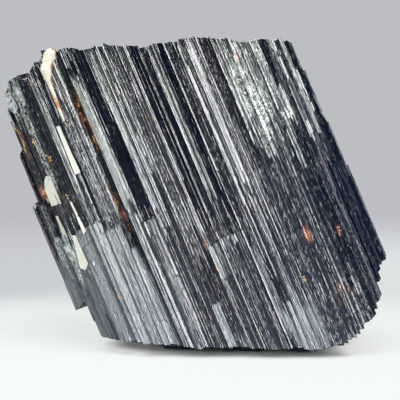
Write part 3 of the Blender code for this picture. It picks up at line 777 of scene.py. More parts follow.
def crystal_faces():
    """Faces of the whole closed crystal, the skin first."""
    low_first = LINES * ROWS
    high_first = low_first + len(low_end)
    faces = []
    for j in range(LINES):
        following = (j + 1) % LINES
        here, there = j * ROWS, following * ROWS
        faces += [(here + k, there + k, there + k + 1, here + k + 1) for k in range(ROWS - 1)]
        faces.append((there, here, low_first + j, low_first + following))
        faces.append((here + ROWS - 1, there + ROWS - 1, high_first + following, high_first + j))
    faces += [tuple(low_first + k for k in reversed(face)) for face in low_faces]
    faces += [tuple(high_first + k for k in face) for face in high_faces]
    return faces


block = np.vstack([skin.reshape(-1, 3), low_end, high_end])
end_finish = np.tile(END_FINISH, (len(low_end) + len(high_end), 1))
finish = np.vstack([skin_finish.reshape(-1, len(END_FINISH)), end_finish])
mesh = mesh_of("tourmaline_crystal_faces", block, crystal_faces())
crystal = set_down("tourmaline_columns", mesh)
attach(crystal, "root")
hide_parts("tourmaline_crystal")
print(len(mesh.polygons), "faces,", sum(len(face.vertices) - 2 for face in mesh.polygons), "triangles")

# %% [markdown]
# ## Keep the finish on the mesh
# The finish of each vertex is stored on the mesh under a name, and so is its place in the
# block. The material reads both, so its patterns run along the columns however they lean.

# %% Store finish and place on the mesh
# Across, height, half width, half height and strength of each stain: brown rust, then pink.
STAINS = [(16.6, 60.0, 0.6, 2.4, 1.1), (16.8, 55.9, 0.6, 1.8, 1.3), (16.9, 53.4, 0.5, 1.8, 1.1),
          (16.4, 39.5, 0.4, 1.8, 0.8), (16.3, 36.0, 0.4, 1.4, 0.9), (15.9, 42.5, 0.4, 1.4, 0.7),
          (7.2, 53.7, 0.6, 0.8, 1.3), (3.2, 59.0, 0.6, 2.6, 1.0), (3.5, 47.8, 0.5, 1.6, 1.0),
          (28.6, 21.4, 0.5, 1.0, 0.6), (48.4, 9.2, 1.3, 1.8, 0.45), (27.5, 52.0, 0.5, 2.4, 0.2),
          (47.3, 57.2, 0.5, 0.6, 0.7), (47.5, 52.8, 0.5, 0.9, 0.5), (9.9, 24.0, 0.3, 1.2, 0.4)]
PINK_STAINS = [(46.6, 21.5, 0.5, 1.1, 1.4), (28.3, 27.1, 0.3, 0.6, 1.2), (2.8, 48.6, 0.5, 1.0, 0.9),
               (52.4, 19.9, 0.3, 0.8, 0.9), (47.4, 57.0, 0.35, 0.5, 1.0), (16.4, 38.2, 0.3, 0.9, 0.7)]


def stain_at(places, stains):
    """How stained each vertex is: full in the middle of a stain, 0 away from it."""
    rust = np.zeros(len(places))
    on_front = places[:, 1] < SEEN_LIMIT
    for across, height, wide, tall, strength in stains:
        away = ((places[:, 0] - across) / wide) ** 2 + ((places[:, 2] - height) / tall) ** 2
        rust = np.maximum(rust, strength * np.exp(-away) * on_front)
    return rust


def store(body, name, values, kind="FLOAT"):
    """Keep one value, or one place, for each vertex of a mesh under a name."""
    layer = body.attributes.new(name, kind, "POINT")
    layer.data.foreach_set("value" if kind == "FLOAT" else "vector", np.ravel(values).astype(np.float32))


for name, part in (("satin", SATIN), ("grain", GRAIN), ("pale", PALE_SHEEN), ("gloss", GLOSS), ("frost", FROST)):
    store(mesh, name, finish[:, part])
store(mesh, "rust", stain_at(block, STAINS))
store(mesh, "pink", stain_at(block, PINK_STAINS))
store(mesh, "block_place", block, "FLOAT_VECTOR")
print("stained vertices", int((stain_at(block, STAINS) > 0.2).sum()))

# %% [markdown]
# ## The feldspar and the mica
# A cream vein of feldspar runs down from the top edge, and flat flakes of it lie on the left
# side, split along their cleavage so they shine like broken china, with thin films of mica
# and rusty crumbs between them. Each is a small body of its own sort of stone, so each gets
# its own mesh, set into the crystal by measuring where the crystal's surface is: a ray is
# sent in square to the front face.

# %% Find the crystal's surface
crystal_tree = BVHTree.FromPolygons([vertex.co for vertex in mesh.vertices],
                                    [face.vertices for face in mesh.polygons])
FAR_OUT = 20.0  # mm in front of the block, where the ray starts


def surface_depth(across, height):
    """How deep the surface is, square in from the front, at a place on it."""
    start = Vector(stand_up((across, -FAR_OUT, height)))
    hit = crystal_tree.ray_cast(start, Vector(DEPTH))[0]
    return None if hit is None else (hit - start).length / MM - FAR_OUT


print("surface at the middle of the front", round(surface_depth(29, 35), 2), "mm deep")

# %% The vein: a lumpy cord of feldspar, half sunk
# Across, height and half width of the vein, from the top edge down.
VEIN = [(15.6, 72.5, 0.5), (15.3, 72.0, 1.2), (14.9, 71.2, 1.55), (14.2, 70.2, 1.45), (13.7, 69.2, 1.2),
        (13.35, 67.8, 0.82), (13.2, 66.4, 0.54), (13.1, 64.6, 0.37), (13.0, 62.8, 0.36),
        (12.95, 60.8, 0.28), (12.9, 59.0, 0.22), (13.0, 57.5, 0.05)]
VEIN_STATIONS, VEIN_SIDES = 96, 14
VEIN_THICK = 0.6  # share of its half width
VEIN_LUMPS = ((0.2, 13), (0.12, 44))  # share of its width, and how many down the vein
VEIN_EDGE = 71.5  # above it the vein stands past the broken top and has no surface behind it
VEIN_SETTLE = 4  # stations on either side over which its depth is evened out
VEIN_RUST_BELOW, VEIN_RUST_FADE, VEIN_TAIL_RUST = 66.0, 3.0, 0.75  # its thin tail is stained all over
VEIN_RUST_SIDE, VEIN_RUST_SPREAD = 0.25, 1.6  # how far right of its middle the rust starts, and how fast

vein_along = np.linspace(0, 1, VEIN_STATIONS)
vein_turn = np.linspace(0, 2 * math.pi, VEIN_SIDES, endpoint=False)
vein_across, vein_height, vein_half = (
    np.interp(vein_along, np.linspace(0, 1, len(VEIN)), column) for column in zip(*VEIN))


def ring_faces(count, sides, first):
    """Faces round and down one closed body, whose two end points follow its rings."""
    faces = [(first + j * sides + k, first + j * sides + (k + 1) % sides,
              first + (j + 1) * sides + (k + 1) % sides, first + (j + 1) * sides + k)
             for j in range(count - 1) for k in range(sides)]
    start, end = first + count * sides, first + count * sides + 1
    base = first + (count - 1) * sides
    faces += [(start, first + (k + 1) % sides, first + k) for k in range(sides)]
    faces += [(end, base + k, base + (k + 1) % sides) for k in range(sides)]
    return faces


def bodies_from_rings(name, bodies):
    """One mesh of closed bodies, each through its rings, with both ends drawn to their middles."""
    places, faces = [], []
    for rings in bodies:
        faces += ring_faces(*rings.shape[:2], len(places))
        places += [*rings.reshape(-1, 3), rings[0].mean(0), rings[-1].mean(0)]
    return mesh_of(name, places, faces)


def vein_rings(rng):
    """Rings down the vein, each one centred on the crystal's surface."""
    depth = np.array([surface_depth(across, min(height, VEIN_EDGE)) or 0.0
                      for across, height in zip(vein_across, vein_height)])
    spread = 2 * VEIN_SETTLE + 1
    depth = np.convolve(np.pad(depth, VEIN_SETTLE, "edge"), np.ones(spread) / spread, "valid")
    lumps = np.ones((VEIN_STATIONS, VEIN_SIDES))
    for size, count in VEIN_LUMPS:
        coarse = rng.uniform(-size, size, (count, VEIN_SIDES))
        coarse = (coarse + np.roll(coarse, 1, 1)) / 2
        lumps += np.array([np.interp(vein_along, np.linspace(0, 1, count), side) for side in coarse.T]).T
    half = vein_half[:, None] * lumps
    return np.stack([vein_across[:, None] + half * np.cos(vein_turn),
                     depth[:, None] - VEIN_THICK * half * np.sin(vein_turn),
                     np.repeat(vein_height[:, None], VEIN_SIDES, 1)], -1)


def vein_rust():
    """Rust on each vertex of the vein: on its right side, and all over its thin tail."""
    tail = np.clip((VEIN_RUST_BELOW - vein_height) / VEIN_RUST_FADE, 0, VEIN_TAIL_RUST)
    side = np.clip((np.cos(vein_turn) - VEIN_RUST_SIDE) * VEIN_RUST_SPREAD, 0, 1)
    return np.append(np.maximum(side, tail[:, None]).ravel(), [0.0, 1.0])


def set_in(name, body, smooth=True):
    """Link a body of feldspar or mica and hang it on the crystal."""
    for face in body.polygons:
        face.use_smooth = smooth
    piece = set_down(name, body)
    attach(piece, "root")
    return piece


vein = set_in("feldspar_vein", bodies_from_rings("feldspar_vein", [vein_rings(fine)]))
store(vein.data, "rust", vein_rust())
print("vein of", len(vein.data.polygons), "faces")

# %% The flakes: thin plates split along their cleavage
# Corners of each flake, clockwise, as across and height, and how thick it is.
FLAKES = [([(11.05, 58.5), (11.6, 58.3), (11.95, 48.8), (10.8, 48.8)], 0.55),
          ([(5.3, 50.9), (6.2, 50.4), (6.0, 44.9), (3.7, 45.3), (3.75, 48.7), (4.5, 50.2)], 0.5),
          ([(3.6, 43.3), (4.2, 43.1), (4.4, 39.3), (3.5, 39.2)], 0.35),
          ([(7.75, 44.6), (8.15, 44.4), (8.3, 41.6), (7.85, 41.4)], 0.3),
          ([(7.8, 41.4), (8.3, 41.4), (8.6, 38.3), (7.9, 37.9)], 0.35),
          ([(5.5, 38.6), (6.2, 38.3), (6.3, 32.5), (5.2, 31.5), (4.3, 32.3)], 0.4)]
# Thin films of mica, on the shoulder and beside the lowest flake.
FILMS = [([(3.5, 68.3), (5.1, 68.4), (5.5, 64.9), (4.3, 64.1), (3.5, 65.4)], 0.25),
         ([(2.5, 65.2), (3.2, 65.6), (3.3, 62.4), (2.6, 61.9)], 0.2),
         ([(6.1, 68.9), (6.9, 68.7), (7.3, 65.0), (6.5, 64.6)], 0.2),
         ([(2.6, 37.2), (3.9, 37.4), (4.1, 34.4), (3.0, 33.9)], 0.2)]
FLAKE_PROUD = 0.22
MOST_LIFT = 0.9  # how far a flake may be lifted to clear the surface under it, mm
CLEAVAGE_STEP, CLEAVAGE_LINES = 0.06, (2.2, -0.4)  # height of the steps, and how closely they run
FLAKE_GRID, GRID_SHAKE = 0.22, 0.3
FLAKE_BED = 0.8  # how far out towards its corners the surface under a flake is measured


def flake_bed(flat):
    """The plane that a flake lies on: its two slopes, and its depth."""
    spots = np.vstack([flat * FLAKE_BED + flat.mean(0) * (1 - FLAKE_BED), flat.mean(0)])
    spots = np.array([spot for spot in spots if surface_depth(*spot) is not None])
    depths = np.array([surface_depth(*spot) for spot in spots])
    sheet = np.column_stack([spots, np.ones(len(spots))])
    plane = np.linalg.lstsq(sheet, depths, rcond=None)[0]
    plane[2] += max((depths - sheet @ plane).min(), -MOST_LIFT)
    return plane


def flake_body(name, corners, thick, rng):
    """A thin plate that lies on the surface, its face broken into small cleavage steps."""
    flat = np.array(corners)
    count = len(flat)
    grid = np.meshgrid(*[np.arange(a, b, FLAKE_GRID) for a, b in zip(flat.min(0), flat.max(0))])
    inner = [place + rng.uniform(-GRID_SHAKE, GRID_SHAKE, 2) * FLAKE_GRID
             for place in np.stack(grid, -1).reshape(-1, 2)]
    inner = [place for place in inner if room_inside(flat[::-1], place) > FLAKE_GRID / 2]
    edges = [(k, (k + 1) % count) for k in range(count)]
    flat_points = [tuple(place) for place in [*flat, *inner]]
    points, _, faces, *_ = delaunay_2d_cdt(flat_points, edges, [], 1, SAME_PLACE)
    places = np.array([tuple(place) for place in points])
    bed = np.column_stack([places, np.ones(len(places))]) @ flake_bed(flat)
    top = bed - FLAKE_PROUD - CLEAVAGE_STEP * (np.floor(places @ CLEAVAGE_LINES) % 2)
    front = np.column_stack([places[:, 0], top, places[:, 1]])
    back = np.column_stack([places[:, 0], bed + thick, places[:, 1]])[:count]
    first = len(front)
    walls = [(k, (k + 1) % count, first + (k + 1) % count, first + k) for k in range(count)]
    return mesh_of(name, np.vstack([front, back]), [*faces, *walls, range(first, first + count)])


def lay_flakes(name, shapes, rng):
    """All the flakes of one kind, numbered from one."""
    return [set_in(f"{name}_{k}", flake_body(f"{name}_{k}", corners, thick, rng), False)
            for k, (corners, thick) in enumerate(shapes, 1)]


flakes = lay_flakes("feldspar_flake", FLAKES, fine)
films = lay_flakes("mica_film", FILMS, fine)
print(len(flakes), "flakes and", len(films), "films")

# %% Crumbs of rusty feldspar caught on the left side
CRUMBS = [(2.9, 61.9, 0.45), (3.3, 60.9, 0.3), (3.4, 58.2, 0.4), (3.2, 57.2, 0.32), (3.3, 48.4, 0.5),
          (3.5, 46.7, 0.35), (7.2, 53.9, 0.35), (7.5, 53.2, 0.3), (5.6, 57.7, 0.3), (7.7, 45.4, 0.3),
          (5.3, 24.2, 0.22), (52.4, 19.8, 0.28), (42.8, 13.9, 0.3), (18.9, 27.1, 0.22)]
CRUMB_RINGS, CRUMB_SIDES, CRUMB_ENDS = 6, 8, 0.35
CRUMBS_EACH, CRUMB_SCATTER, CRUMB_NARROW = 7, 0.75, 0.4
CRUMB_MIDDLE, CRUMB_SMALLER = 0.7, (0.2, 0.55)  # sizes beside the one in the list
CRUMB_LUMPS, CRUMB_FLAT, CRUMB_TALL = (0.65, 1.15), 0.7, 1.3


def scatter_crumbs(rng):
    """Each crumb with a few smaller ones around it."""
    places = []
    for across, height, size in CRUMBS:
        places.append((across, height, size * CRUMB_MIDDLE))
        for aside, up in rng.uniform(-CRUMB_SCATTER, CRUMB_SCATTER, (CRUMBS_EACH, 2)):
            places.append((across + aside * CRUMB_NARROW, height + up, size * rng.uniform(*CRUMB_SMALLER)))
    return [place for place in places if surface_depth(*place[:2]) is not None]


def crumb_rings(across, height, size, rng):
    """Rings of a small angular lump, half sunk in the surface."""
    polar = np.linspace(CRUMB_ENDS, math.pi - CRUMB_ENDS, CRUMB_RINGS)[:, None]
    turn = np.linspace(0, 2 * math.pi, CRUMB_SIDES, endpoint=False)[None, :]
    lump = size * rng.uniform(*CRUMB_LUMPS, (CRUMB_RINGS, CRUMB_SIDES))
    return np.stack([across + lump * np.sin(polar) * np.cos(turn),
                     surface_depth(across, height) - CRUMB_FLAT * lump * np.sin(polar) * np.sin(turn),
                     height - lump * np.cos(polar) * CRUMB_TALL], -1)


crumbs = [crumb_rings(*crumb, fine) for crumb in scatter_crumbs(fine)]
crumb_bed = set_in("feldspar_crumbs", bodies_from_rings("feldspar_crumbs", crumbs), False)
print(len(crumbs), "crumbs")

# %% [markdown]
# ## Black tourmaline
# Schorl is a glassy black stone, refractive index about 1.63, so it reflects a little more than window glass.
# Perfect faces look jet black with white glints; finely etched ones go slate grey and satin. That slate grey
# is painted into the colour. It is partly the etched stone's own paleness and partly a painted sheen that
# stands for the light its fine lines reflect. The finest lines go on as bump, drawn from noise stretched some
# twenty times along the columns, and broken places get a fine grain that runs no way in particular.
# Grey dust, white crumbs, brown rust and pink stains are only colour and lie on it in layers.
# Towards the lower right the black has a tint of navy.

# %% Helpers for materials
def linear(hex_colour):
    """An sRGB hex colour as the linear values that Blender wants."""
    values = [int(hex_colour[k:k + 2], 16) / 255 for k in (1, 3, 5)]
    return tuple(v / 12.92 if v <= 0.04045 else ((v + 0.055) / 1.055) ** 2.4 for v in values) + (1.0,)


def add(tree, kind, inputs=None, take=None, **settings):
    """Add a node with its settings, feed each socket a value or an output, and hand on its output."""
    node = tree.nodes.new("ShaderNode" + kind)
    for name, value in settings.items():
        setattr(node, name, value)
    for name, value in (inputs or {}).items():
        if isinstance(value, bpy.types.NodeSocket):
            tree.links.new(value, node.inputs[name])
        else:
            node.inputs[name].default_value = value
    if take:
        return node.outputs[take]
    return next((output for output in node.outputs if output.enabled), None)


def span(value, start, end, below=0.0, above=1.0):
    """What a Map Range node needs to read a value from start to end as below to above."""
    return {"Value": value, "From Min": start, "From Max": end, "To Min": below, "To Max": above}


def blend(share, one, other):
    """What a Mix node needs to go from one to the other."""
    return {"Factor": share, "A": one, "B": other}


def new_material(name):
    """A material with its node tree emptied."""
    material = bpy.data.materials.new(name)
    material.use_nodes = True
    material.node_tree.nodes.clear()
    return material, material.node_tree


print("middle grey in linear light", round(linear("#808080")[0], 3))

# %% The patterns that break up the schorl's finish
# For each noise: size across and along the columns in mm, detail and roughness. The streaks
# are drawn coarser than the real lines, which are finer than can show.
NOISES = {"streaks": (0.28, 6.0, 3.0, 0.65), "grains": (0.45, 0.45, 3.0, 0.6),
          "clouds": (2.8571, 2.8571, 4.0, 0.5), "rust patches": (1.1, 2.4444, 4.0, 0.6)}
DUST_SIZE = 0.26
DUST_STRETCH, DUST_SHAKE = 0.4, 3.0  # specks are longer up the columns, with crumbly edges
GREEN_WAVER, RIGHT_FALL = 30.0, -0.5  # mm of cloud, and how the navy's edge falls to the right
# How each is read: from what, between which two of its values, and what that gives below and above.
READINGS = {"pale lines": ("streaks", 0.38, 0.62, 0.1, 1.3), "furrows": ("streaks", 0.42, 0.6, 0.1, 1.1),
            "runs": ("streaks", 0.42, 0.54, 0.1, 1.3), "crust": ("grains", 0.45, 0.56, 0.0, 1.0),
            "brown grains": ("grains", 0.6, 0.68, 0.0, 1.0), "split clean": ("grains", 0.58, 0.62, 0.0, 1.0),
            "pink break": ("grains", 0.34, 0.5, 0.0, 1.6), "etching": ("grains", 0.35, 0.65, 0.25, 0.55),
            "brown places": ("clouds", 0.5, 0.7, 0.0, 0.36), "thick places": ("clouds", 0.4, 0.52, 0.15, 1.3),
            "rust break": ("rust patches", 0.38, 0.52, 0.0, 1.7),
            "amber": ("rust patches", 0.54, 0.62, 0.0, 1.0), "specks": ("odd", 0.86, 0.9, 0.0, 1.0),
            "greenish": ("wavering height", 35.0, 75.0, 0.0, 1.0),
            "low right": ("rightwards", 18.0, 36.0, 0.0, 1.0)}


def read_patterns(tree):
    """Every pattern of the stone by name: what the mesh keeps, the noises, and how they are read."""
    values = {name: add(tree, "Attribute", take="Fac", attribute_name=name)
              for name in ("satin", "grain", "pale", "gloss", "frost", "rust", "pink")}
    place = add(tree, "Attribute", take="Vector", attribute_name="block_place")
    for name, (wide, tall, detail, roughness) in NOISES.items():
        stretched = add(tree, "Mapping", {"Vector": place, "Scale": (1 / wide, 1 / wide, 1 / tall)})
        values[name] = add(tree, "TexNoise", {"Vector": stretched, "Scale": 1.0, "Detail": detail,
                                              "Roughness": roughness})
    values["pits"] = add(tree, "TexVoronoi", {"Vector": place, "Scale": 1 / NOISES["grains"][0]})
    jitter = add(tree, "TexNoise", {"Vector": place, "Scale": DUST_SHAKE / DUST_SIZE}, take="Color")
    crumbly = add(tree, "VectorMath", {0: jitter, "Scale": DUST_SIZE}, operation="SCALE")
    shaken = add(tree, "VectorMath", {0: place, 1: crumbly}, operation="ADD")
    stretched = add(tree, "Mapping", {"Vector": shaken, "Scale": (1.0, 1.0, DUST_STRETCH)})
    cells = add(tree, "TexVoronoi", {"Vector": stretched, "Scale": 1 / DUST_SIZE}, take="Color")
    odd = add(tree, "SeparateColor", {"Color": cells}).node.outputs
    values["odd"], values["speck tone"] = odd["Red"], odd["Green"]
    where = add(tree, "SeparateXYZ", {"Vector": place}).node.outputs
    values["wavering height"] = add(tree, "Math", {0: values["clouds"], 1: GREEN_WAVER, 2: where["Z"]},
                                    operation="MULTIPLY_ADD")
    values["rightwards"] = add(tree, "Math", {0: where["Z"], 1: RIGHT_FALL, 2: where["X"]},
                               operation="MULTIPLY_ADD")
    for name, (source, *limits) in READINGS.items():
        values[name] = add(tree, "MapRange", span(values[source], *limits))
    return values


print(len(NOISES), "noises read in", len(READINGS), "ways")

# %% Schorl, striated and partly etched
# For each colour: what picks it, from which colour to which.
# The etched grey layer is partly the stone's own colour and partly painted sheen.
COLOURS = {"black": ("low right", "#080e20", "#08182f"), "etched": ("greenish", "#66727d", "#737d72"),
           "dust": ("speck tone", "#2c2a2e", "#cfcfca"), "rust": ("amber", "#3a2117", "#c98c50"),
           "pink": ("pits", "#d99a86", "#8a4a38")}
FROST_WHITE = "#dce8e0"
# How much of each layer shows: everything that it is multiplied by.
SHARES = {"etched": ("pale", "pale lines"), "dust": ("specks", "grain", "furrows"),
          "frost": ("frost", "thick places", "crust", "runs"), "rust": ("rust", "rust break"),
          "brown": ("brown grains", "brown places"), "pink": ("pink", "pink break"),
          "split": ("grain", "split clean")}
GLASSY = 0.06  # roughness of a perfect face
GLINT = 0.07  # roughness of a grain that has split clean
STREAK_ROUGHENS = 0.10
FULL_SHINE = 0.5  # the shader's own value for a clean surface
GRAIN_RELIEF, LINE_RELIEF, LINE_STRENGTH = 0.14 * MM, 0.12 * MM, 0.7


def schorl():
    """The stone of the crystal, with all that lies on it."""
    material, tree = new_material("schorl")
    values = read_patterns(tree)
    share = {}
    for name, factors in SHARES.items():
        share[name] = values[factors[0]]
        for factor in factors[1:]:
            share[name] = add(tree, "Math", {0: share[name], 1: values[factor]}, operation="MULTIPLY")
    share["rust"] = add(tree, "Math", {0: share["rust"], 1: share["brown"]}, operation="ADD")
    layers = {name: add(tree, "Mix", blend(values[pick], linear(one), linear(other)), data_type="RGBA")
              for name, (pick, one, other) in COLOURS.items()}
    layers["frost"] = linear(FROST_WHITE)
    colour = layers["black"]
    for name in ("etched", "dust", "frost", "rust", "pink"):
        colour = add(tree, "Mix", blend(share[name], colour, layers[name]), data_type="RGBA")
    polish = add(tree, "MapRange", span(values["satin"], 0.0, 1.0, GLASSY, values["etching"]))
    uneven = add(tree, "Math", {0: values["streaks"], 1: STREAK_ROUGHENS, 2: polish},
                 operation="MULTIPLY_ADD")
    roughness = add(tree, "Mix", blend(share["split"], uneven, GLINT))
    shine = add(tree, "Math", {0: values["gloss"], 1: FULL_SHINE}, operation="MULTIPLY")
    grain_bump = add(tree, "Bump", {"Strength": values["grain"], "Distance": GRAIN_RELIEF,
                                    "Height": values["grains"]})
    line_bump = add(tree, "Bump", {"Strength": LINE_STRENGTH, "Distance": LINE_RELIEF,
                                   "Height": values["streaks"], "Normal": grain_bump})
    surface = add(tree, "BsdfPrincipled", {"Base Color": colour, "Roughness": roughness, "IOR": 1.63,
                                           "Specular IOR Level": shine, "Normal": line_bump})
    add(tree, "OutputMaterial", {"Surface": surface})
    return material


mesh.materials.append(schorl())
print("crystal dressed in", mesh.materials[0].name, "with", len(SHARES), "shares laid on")

# %% [markdown]
# ## Feldspar and mica
# Feldspar here is a cream stone with a pearly, slightly see-into surface, refractive index
# about 1.53. Rust has soaked into the vein's right side and its thin tail. The split faces
# of the flakes are smoother than the vein, and the crumbs are rusty through and through. The
# thin films are mica, about 1.58: pearly where thick, clear where only a skin is left.

# %% Cream feldspar, weathered or freshly split
CLOUDS, STAIN_PATCHES, SUGAR = 900.0, 420.0, 4200.0  # to the metre: about 1.1, 2.4 and 0.24 mm
RUST_EDGE, RUST_ADDS = (0.62, 0.75), 0.22  # where the rust starts and is full, and what the stain adds
SUGAR_RELIEF, SUGAR_STRENGTH = 0.08 * MM, 0.6


def feldspar(name, light, deep, roughness, rust_share):
    """Cream stone between two colours, rusted more the higher the share."""
    material, tree = new_material(name)
    place = add(tree, "TexCoord", take="Object")
    cloud, patches, sugar = (add(tree, "TexNoise", {"Vector": place, "Scale": scale, "Detail": detail})
                             for scale, detail in ((CLOUDS, 4.0), (STAIN_PATCHES, 3.0), (SUGAR, 2.0)))
    stone = add(tree, "Mix", blend(cloud, linear(light), linear(deep)), data_type="RGBA")
    rust = add(tree, "Attribute", take="Fac", attribute_name="rust")
    stained = add(tree, "Math", {0: rust, 1: RUST_ADDS, 2: patches}, operation="MULTIPLY_ADD")
    rusted = add(tree, "MapRange", span(stained, *(edge - rust_share for edge in RUST_EDGE)))
    colour = add(tree, "Mix", blend(rusted, stone, linear("#cf9040")), data_type="RGBA")
    bump = add(tree, "Bump", {"Strength": SUGAR_STRENGTH, "Distance": SUGAR_RELIEF, "Height": sugar})
    surface = add(tree, "BsdfPrincipled", {
        "Base Color": colour, "Roughness": roughness, "IOR": 1.53, "Subsurface Weight": 0.15,
        "Subsurface Scale": 0.6 * MM, "Normal": bump})
    add(tree, "OutputMaterial", {"Surface": surface})
    return material


vein.data.materials.append(feldspar("weathered_feldspar", "#fffaf0", "#f0dfc0", 0.55, -0.02))
split_feldspar = feldspar("split_feldspar", "#fffdf2", "#e9e5d0", 0.3, -0.1)
for flake in flakes:
    flake.data.materials.append(split_feldspar)
crumb_bed.data.materials.append(feldspar("rusty_feldspar", "#f0d9a0", "#c98f3c", 0.5, 0.14))
print("vein,", len(flakes), "flakes and the crumbs dressed in feldspar")

# %% Mica in a thin film
MICA_CLOUDS = 1300.0  # to the metre: about 0.8 mm
MICA_THINS, MICA_COVERS = (0.36, 0.56), (0.2, 0.95)  # between which clouds, and how much it hides there


def mica():
    """Pearly scales, see-through in places."""
    material, tree = new_material("mica")
    place = add(tree, "TexCoord", take="Object")
    cloud = add(tree, "TexNoise", {"Vector": place, "Scale": MICA_CLOUDS, "Detail": 4.0})
    thick = add(tree, "MapRange", span(cloud, *MICA_THINS, *MICA_COVERS))
    colour = add(tree, "Mix", blend(cloud, linear("#b4c0c6"), linear("#f2f6f2")), data_type="RGBA")
    surface = add(tree, "BsdfPrincipled", {"Base Color": colour, "Roughness": 0.2, "IOR": 1.58,
                                           "Alpha": thick})
    add(tree, "OutputMaterial", {"Surface": surface})
    return material


thin_mica = mica()
for film in films:
    film.data.materials.append(thin_mica)
print(len(films), "films dressed in", thin_mica.name)

# %% [markdown]
# ## Studio
# A pale table fades out at its rim into an even grey room. Most of the table's brightness is painted light, a
# glow from the table itself, and close to the stone that glow is darkened as a painted contact shadow. Soft
# square lights stand on the left, the right, in front, overhead and behind. The two that give the long
# glints, on the right and behind, only show as gloss, and the one in front only fills the shade.

# %% A floor that fades into the room
FLOOR_RADIUS, FLOOR_CORNERS = 0.45, 96
FLOOR_MIDDLE = -0.05
# How far out, in metres, the floor is still whole, then in half light, then fades, then gone.
FLOOR_WHOLE, FLOOR_DUSK, FLOOR_FADES, FLOOR_GONE = 0.085, 0.13, 0.17, 0.33
# Where the dusk starts and is full, from right to left, and how dark it is at each.
DUSK_ACROSS, DUSK_DEPTH = (0.03, -0.04), (0.38, 0.75)
# How bright the table's painted light glows, and how near the stone, in metres, a painted contact shadow
# darkens that glow.
FLOOR_PAINTED_LIGHT, PAINTED_SHADOW_REACH = 0.75, 0.003


def fading_floor():
    """Grey paint and a glow of painted light together, the glow darkened near the stone as a painted contact
    shadow, thinned out towards the rim.
    """
    material, tree = new_material("pale_floor")
    place = add(tree, "TexCoord", take="Object")
    distance = add(tree, "VectorMath", {0: place}, take="Value", operation="LENGTH")
    across = add(tree, "SeparateXYZ", {"Vector": place})
    dusk = add(tree, "MapRange", span(across, *DUSK_ACROSS, *DUSK_DEPTH))
    near = add(tree, "MapRange", span(distance, FLOOR_WHOLE, FLOOR_DUSK, 0.0, dusk),
               interpolation_type="SMOOTHSTEP")
    left = add(tree, "MapRange", span(distance, FLOOR_FADES, FLOOR_GONE, 1.0, 0.0),
               interpolation_type="SMOOTHSTEP")
    bright = add(tree, "Math", {0: 1.0, 1: near}, operation="SUBTRACT")
    fade = add(tree, "Math", {0: bright, 1: left}, operation="MULTIPLY")
    paint = add(tree, "BsdfDiffuse", {"Color": linear("#868a88")})
    # Painted light: the glow is emitted by the floor, and ambient occlusion darkens it near the stone as a
    # painted contact shadow.
    clear = add(tree, "AmbientOcclusion", {"Distance": PAINTED_SHADOW_REACH}, take="AO", samples=8)
    painted_glow = add(tree, "Math", {0: clear, 1: FLOOR_PAINTED_LIGHT}, operation="MULTIPLY")
    painted_light = add(tree, "Emission", {"Color": linear("#f2f5f4"), "Strength": painted_glow})
    surface = add(tree, "AddShader", {0: paint, 1: painted_light})
    thinned = add(tree, "MixShader", {"Fac": fade, 1: add(tree, "BsdfTransparent"), 2: surface})
    add(tree, "OutputMaterial", {"Surface": thinned})
    return material


rim = [(FLOOR_RADIUS * math.cos(a), FLOOR_RADIUS * math.sin(a), 0.0)
       for a in np.linspace(0, 2 * math.pi, FLOOR_CORNERS, endpoint=False)]
floor_mesh = bpy.data.meshes.new("floor")
floor_mesh.from_pydata(rim, [], [range(FLOOR_CORNERS)])
floor_mesh.materials.append(fading_floor())
floor = set_down("floor", floor_mesh)
floor.location = (0.0, FLOOR_MIDDLE, 0.0)
print("floor fades from", FLOOR_WHOLE, "to", FLOOR_GONE, "m")

# %% The room
ROOM_NEAR, ROOM_FAR, ROOM_SEEN = linear("#172238"), linear("#a4a8ae"), linear("#bcbec2")
# From where to where, as a direction, the room goes from dim to lit: backwards, and to the left.
LIT_BACKWARDS, LIT_LEFTWARDS, LEAST_LIT = (-0.8, 0.6), (0.5, -0.2), 0.04


def light_room(tree):
    """A pale backdrop for the eye, with a room to light the crystal that is dim in front and right."""
    tree.nodes.clear()
    direction = add(tree, "TexCoord", take="Generated")
    ways = add(tree, "SeparateXYZ", {"Vector": direction}).node.outputs
    far = add(tree, "MapRange", span(ways["Y"], *LIT_BACKWARDS), interpolation_type="SMOOTHSTEP")
    left = add(tree, "MapRange", span(ways["X"], *LIT_LEFTWARDS, LEAST_LIT),
               interpolation_type="SMOOTHSTEP")
    pale = add(tree, "Math", {0: far, 1: left}, operation="MULTIPLY")
    room = add(tree, "Mix", blend(pale, ROOM_NEAR, ROOM_FAR), data_type="RGBA")
    lit = add(tree, "Background", {"Color": room})
    seen = add(tree, "Background", {"Color": ROOM_SEEN})
    eye = add(tree, "LightPath", take="Is Camera Ray")
    add(tree, "OutputWorld", {"Surface": add(tree, "MixShader", {"Fac": eye, 1: lit, 2: seen})})


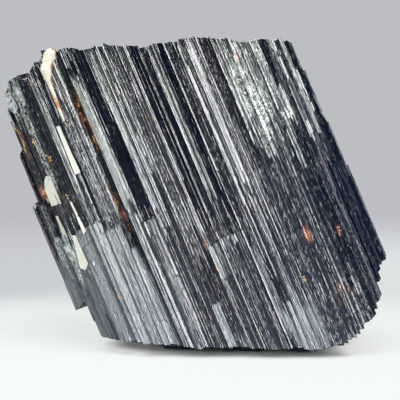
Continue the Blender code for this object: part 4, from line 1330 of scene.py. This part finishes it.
world = bpy.data.worlds.new("room")
bpy.context.scene.world = world
world.use_nodes = True
light_room(world.node_tree)
bpy.context.scene.view_settings.view_transform = "Standard"
print("room lit with", len(world.node_tree.nodes), "nodes")

# %% Soft lights
# Name, direction, distance, size, radiance, and whether it shows as a gloss and as a diffuse light.
LIGHTS = [("window_left", (-0.62, -0.55, 0.55), 0.75, 0.5, 3.6, True, True),
          ("gloss_right", (0.615, -0.716, 0.329), 0.70, 0.44, 20.0, True, False),
          ("front_fill", (0.25, -0.62, 0.72), 0.9, 0.9, 2.1, False, True),
          ("overhead", (0.1, -0.25, 1.0), 0.8, 0.6, 2.2, True, True),
          ("behind", (-0.2, 0.9, 0.5), 0.8, 0.5, 6.0, True, False)]
AIM = Vector((0.0, 0.0, 0.03))


def soft_light(name, direction, distance, size, radiance, as_gloss, as_diffuse):
    """A square soft light turned to the crystal, of a given brightness whatever its size."""
    data = bpy.data.lights.new(name, "AREA")
    data.size = size
    data.energy = radiance * math.pi * size**2
    lamp = set_down(name, data)
    lamp.location = AIM + Vector(direction).normalized() * distance
    lamp.rotation_mode = "QUATERNION"
    lamp.rotation_quaternion = (AIM - lamp.location).to_track_quat("-Z", "Y")
    lamp.visible_camera = False
    lamp.visible_glossy = as_gloss
    lamp.visible_diffuse = as_diffuse
    return lamp


lamps = [soft_light(*row) for row in LIGHTS]
print(len(lamps), "soft lights")

# %% [markdown]
# ## Camera
# It stands 0.3 m away, 5 degrees above the table, and looks square at the striated face.

# %% The camera
ELEVATION = math.radians(5.0)
DISTANCE, FRAME_WIDTH = 0.3, 0.076  # m, from the crystal and across the picture there
SENSOR = 36.0
LOOK_AT = Vector((0.0009, -0.012, 0.0289))
camera_data = bpy.data.cameras.new("camera")
camera_data.sensor_width = SENSOR
camera_data.lens = SENSOR * DISTANCE / FRAME_WIDTH
camera = set_down("camera", camera_data)
camera.location = LOOK_AT + DISTANCE * Vector((0.0, -math.cos(ELEVATION), math.sin(ELEVATION)))
camera.rotation_mode = "QUATERNION"
camera.rotation_quaternion = (LOOK_AT - camera.location).to_track_quat("-Z", "Y")
bpy.context.scene.camera = camera
print("lens", round(camera_data.lens), "mm")
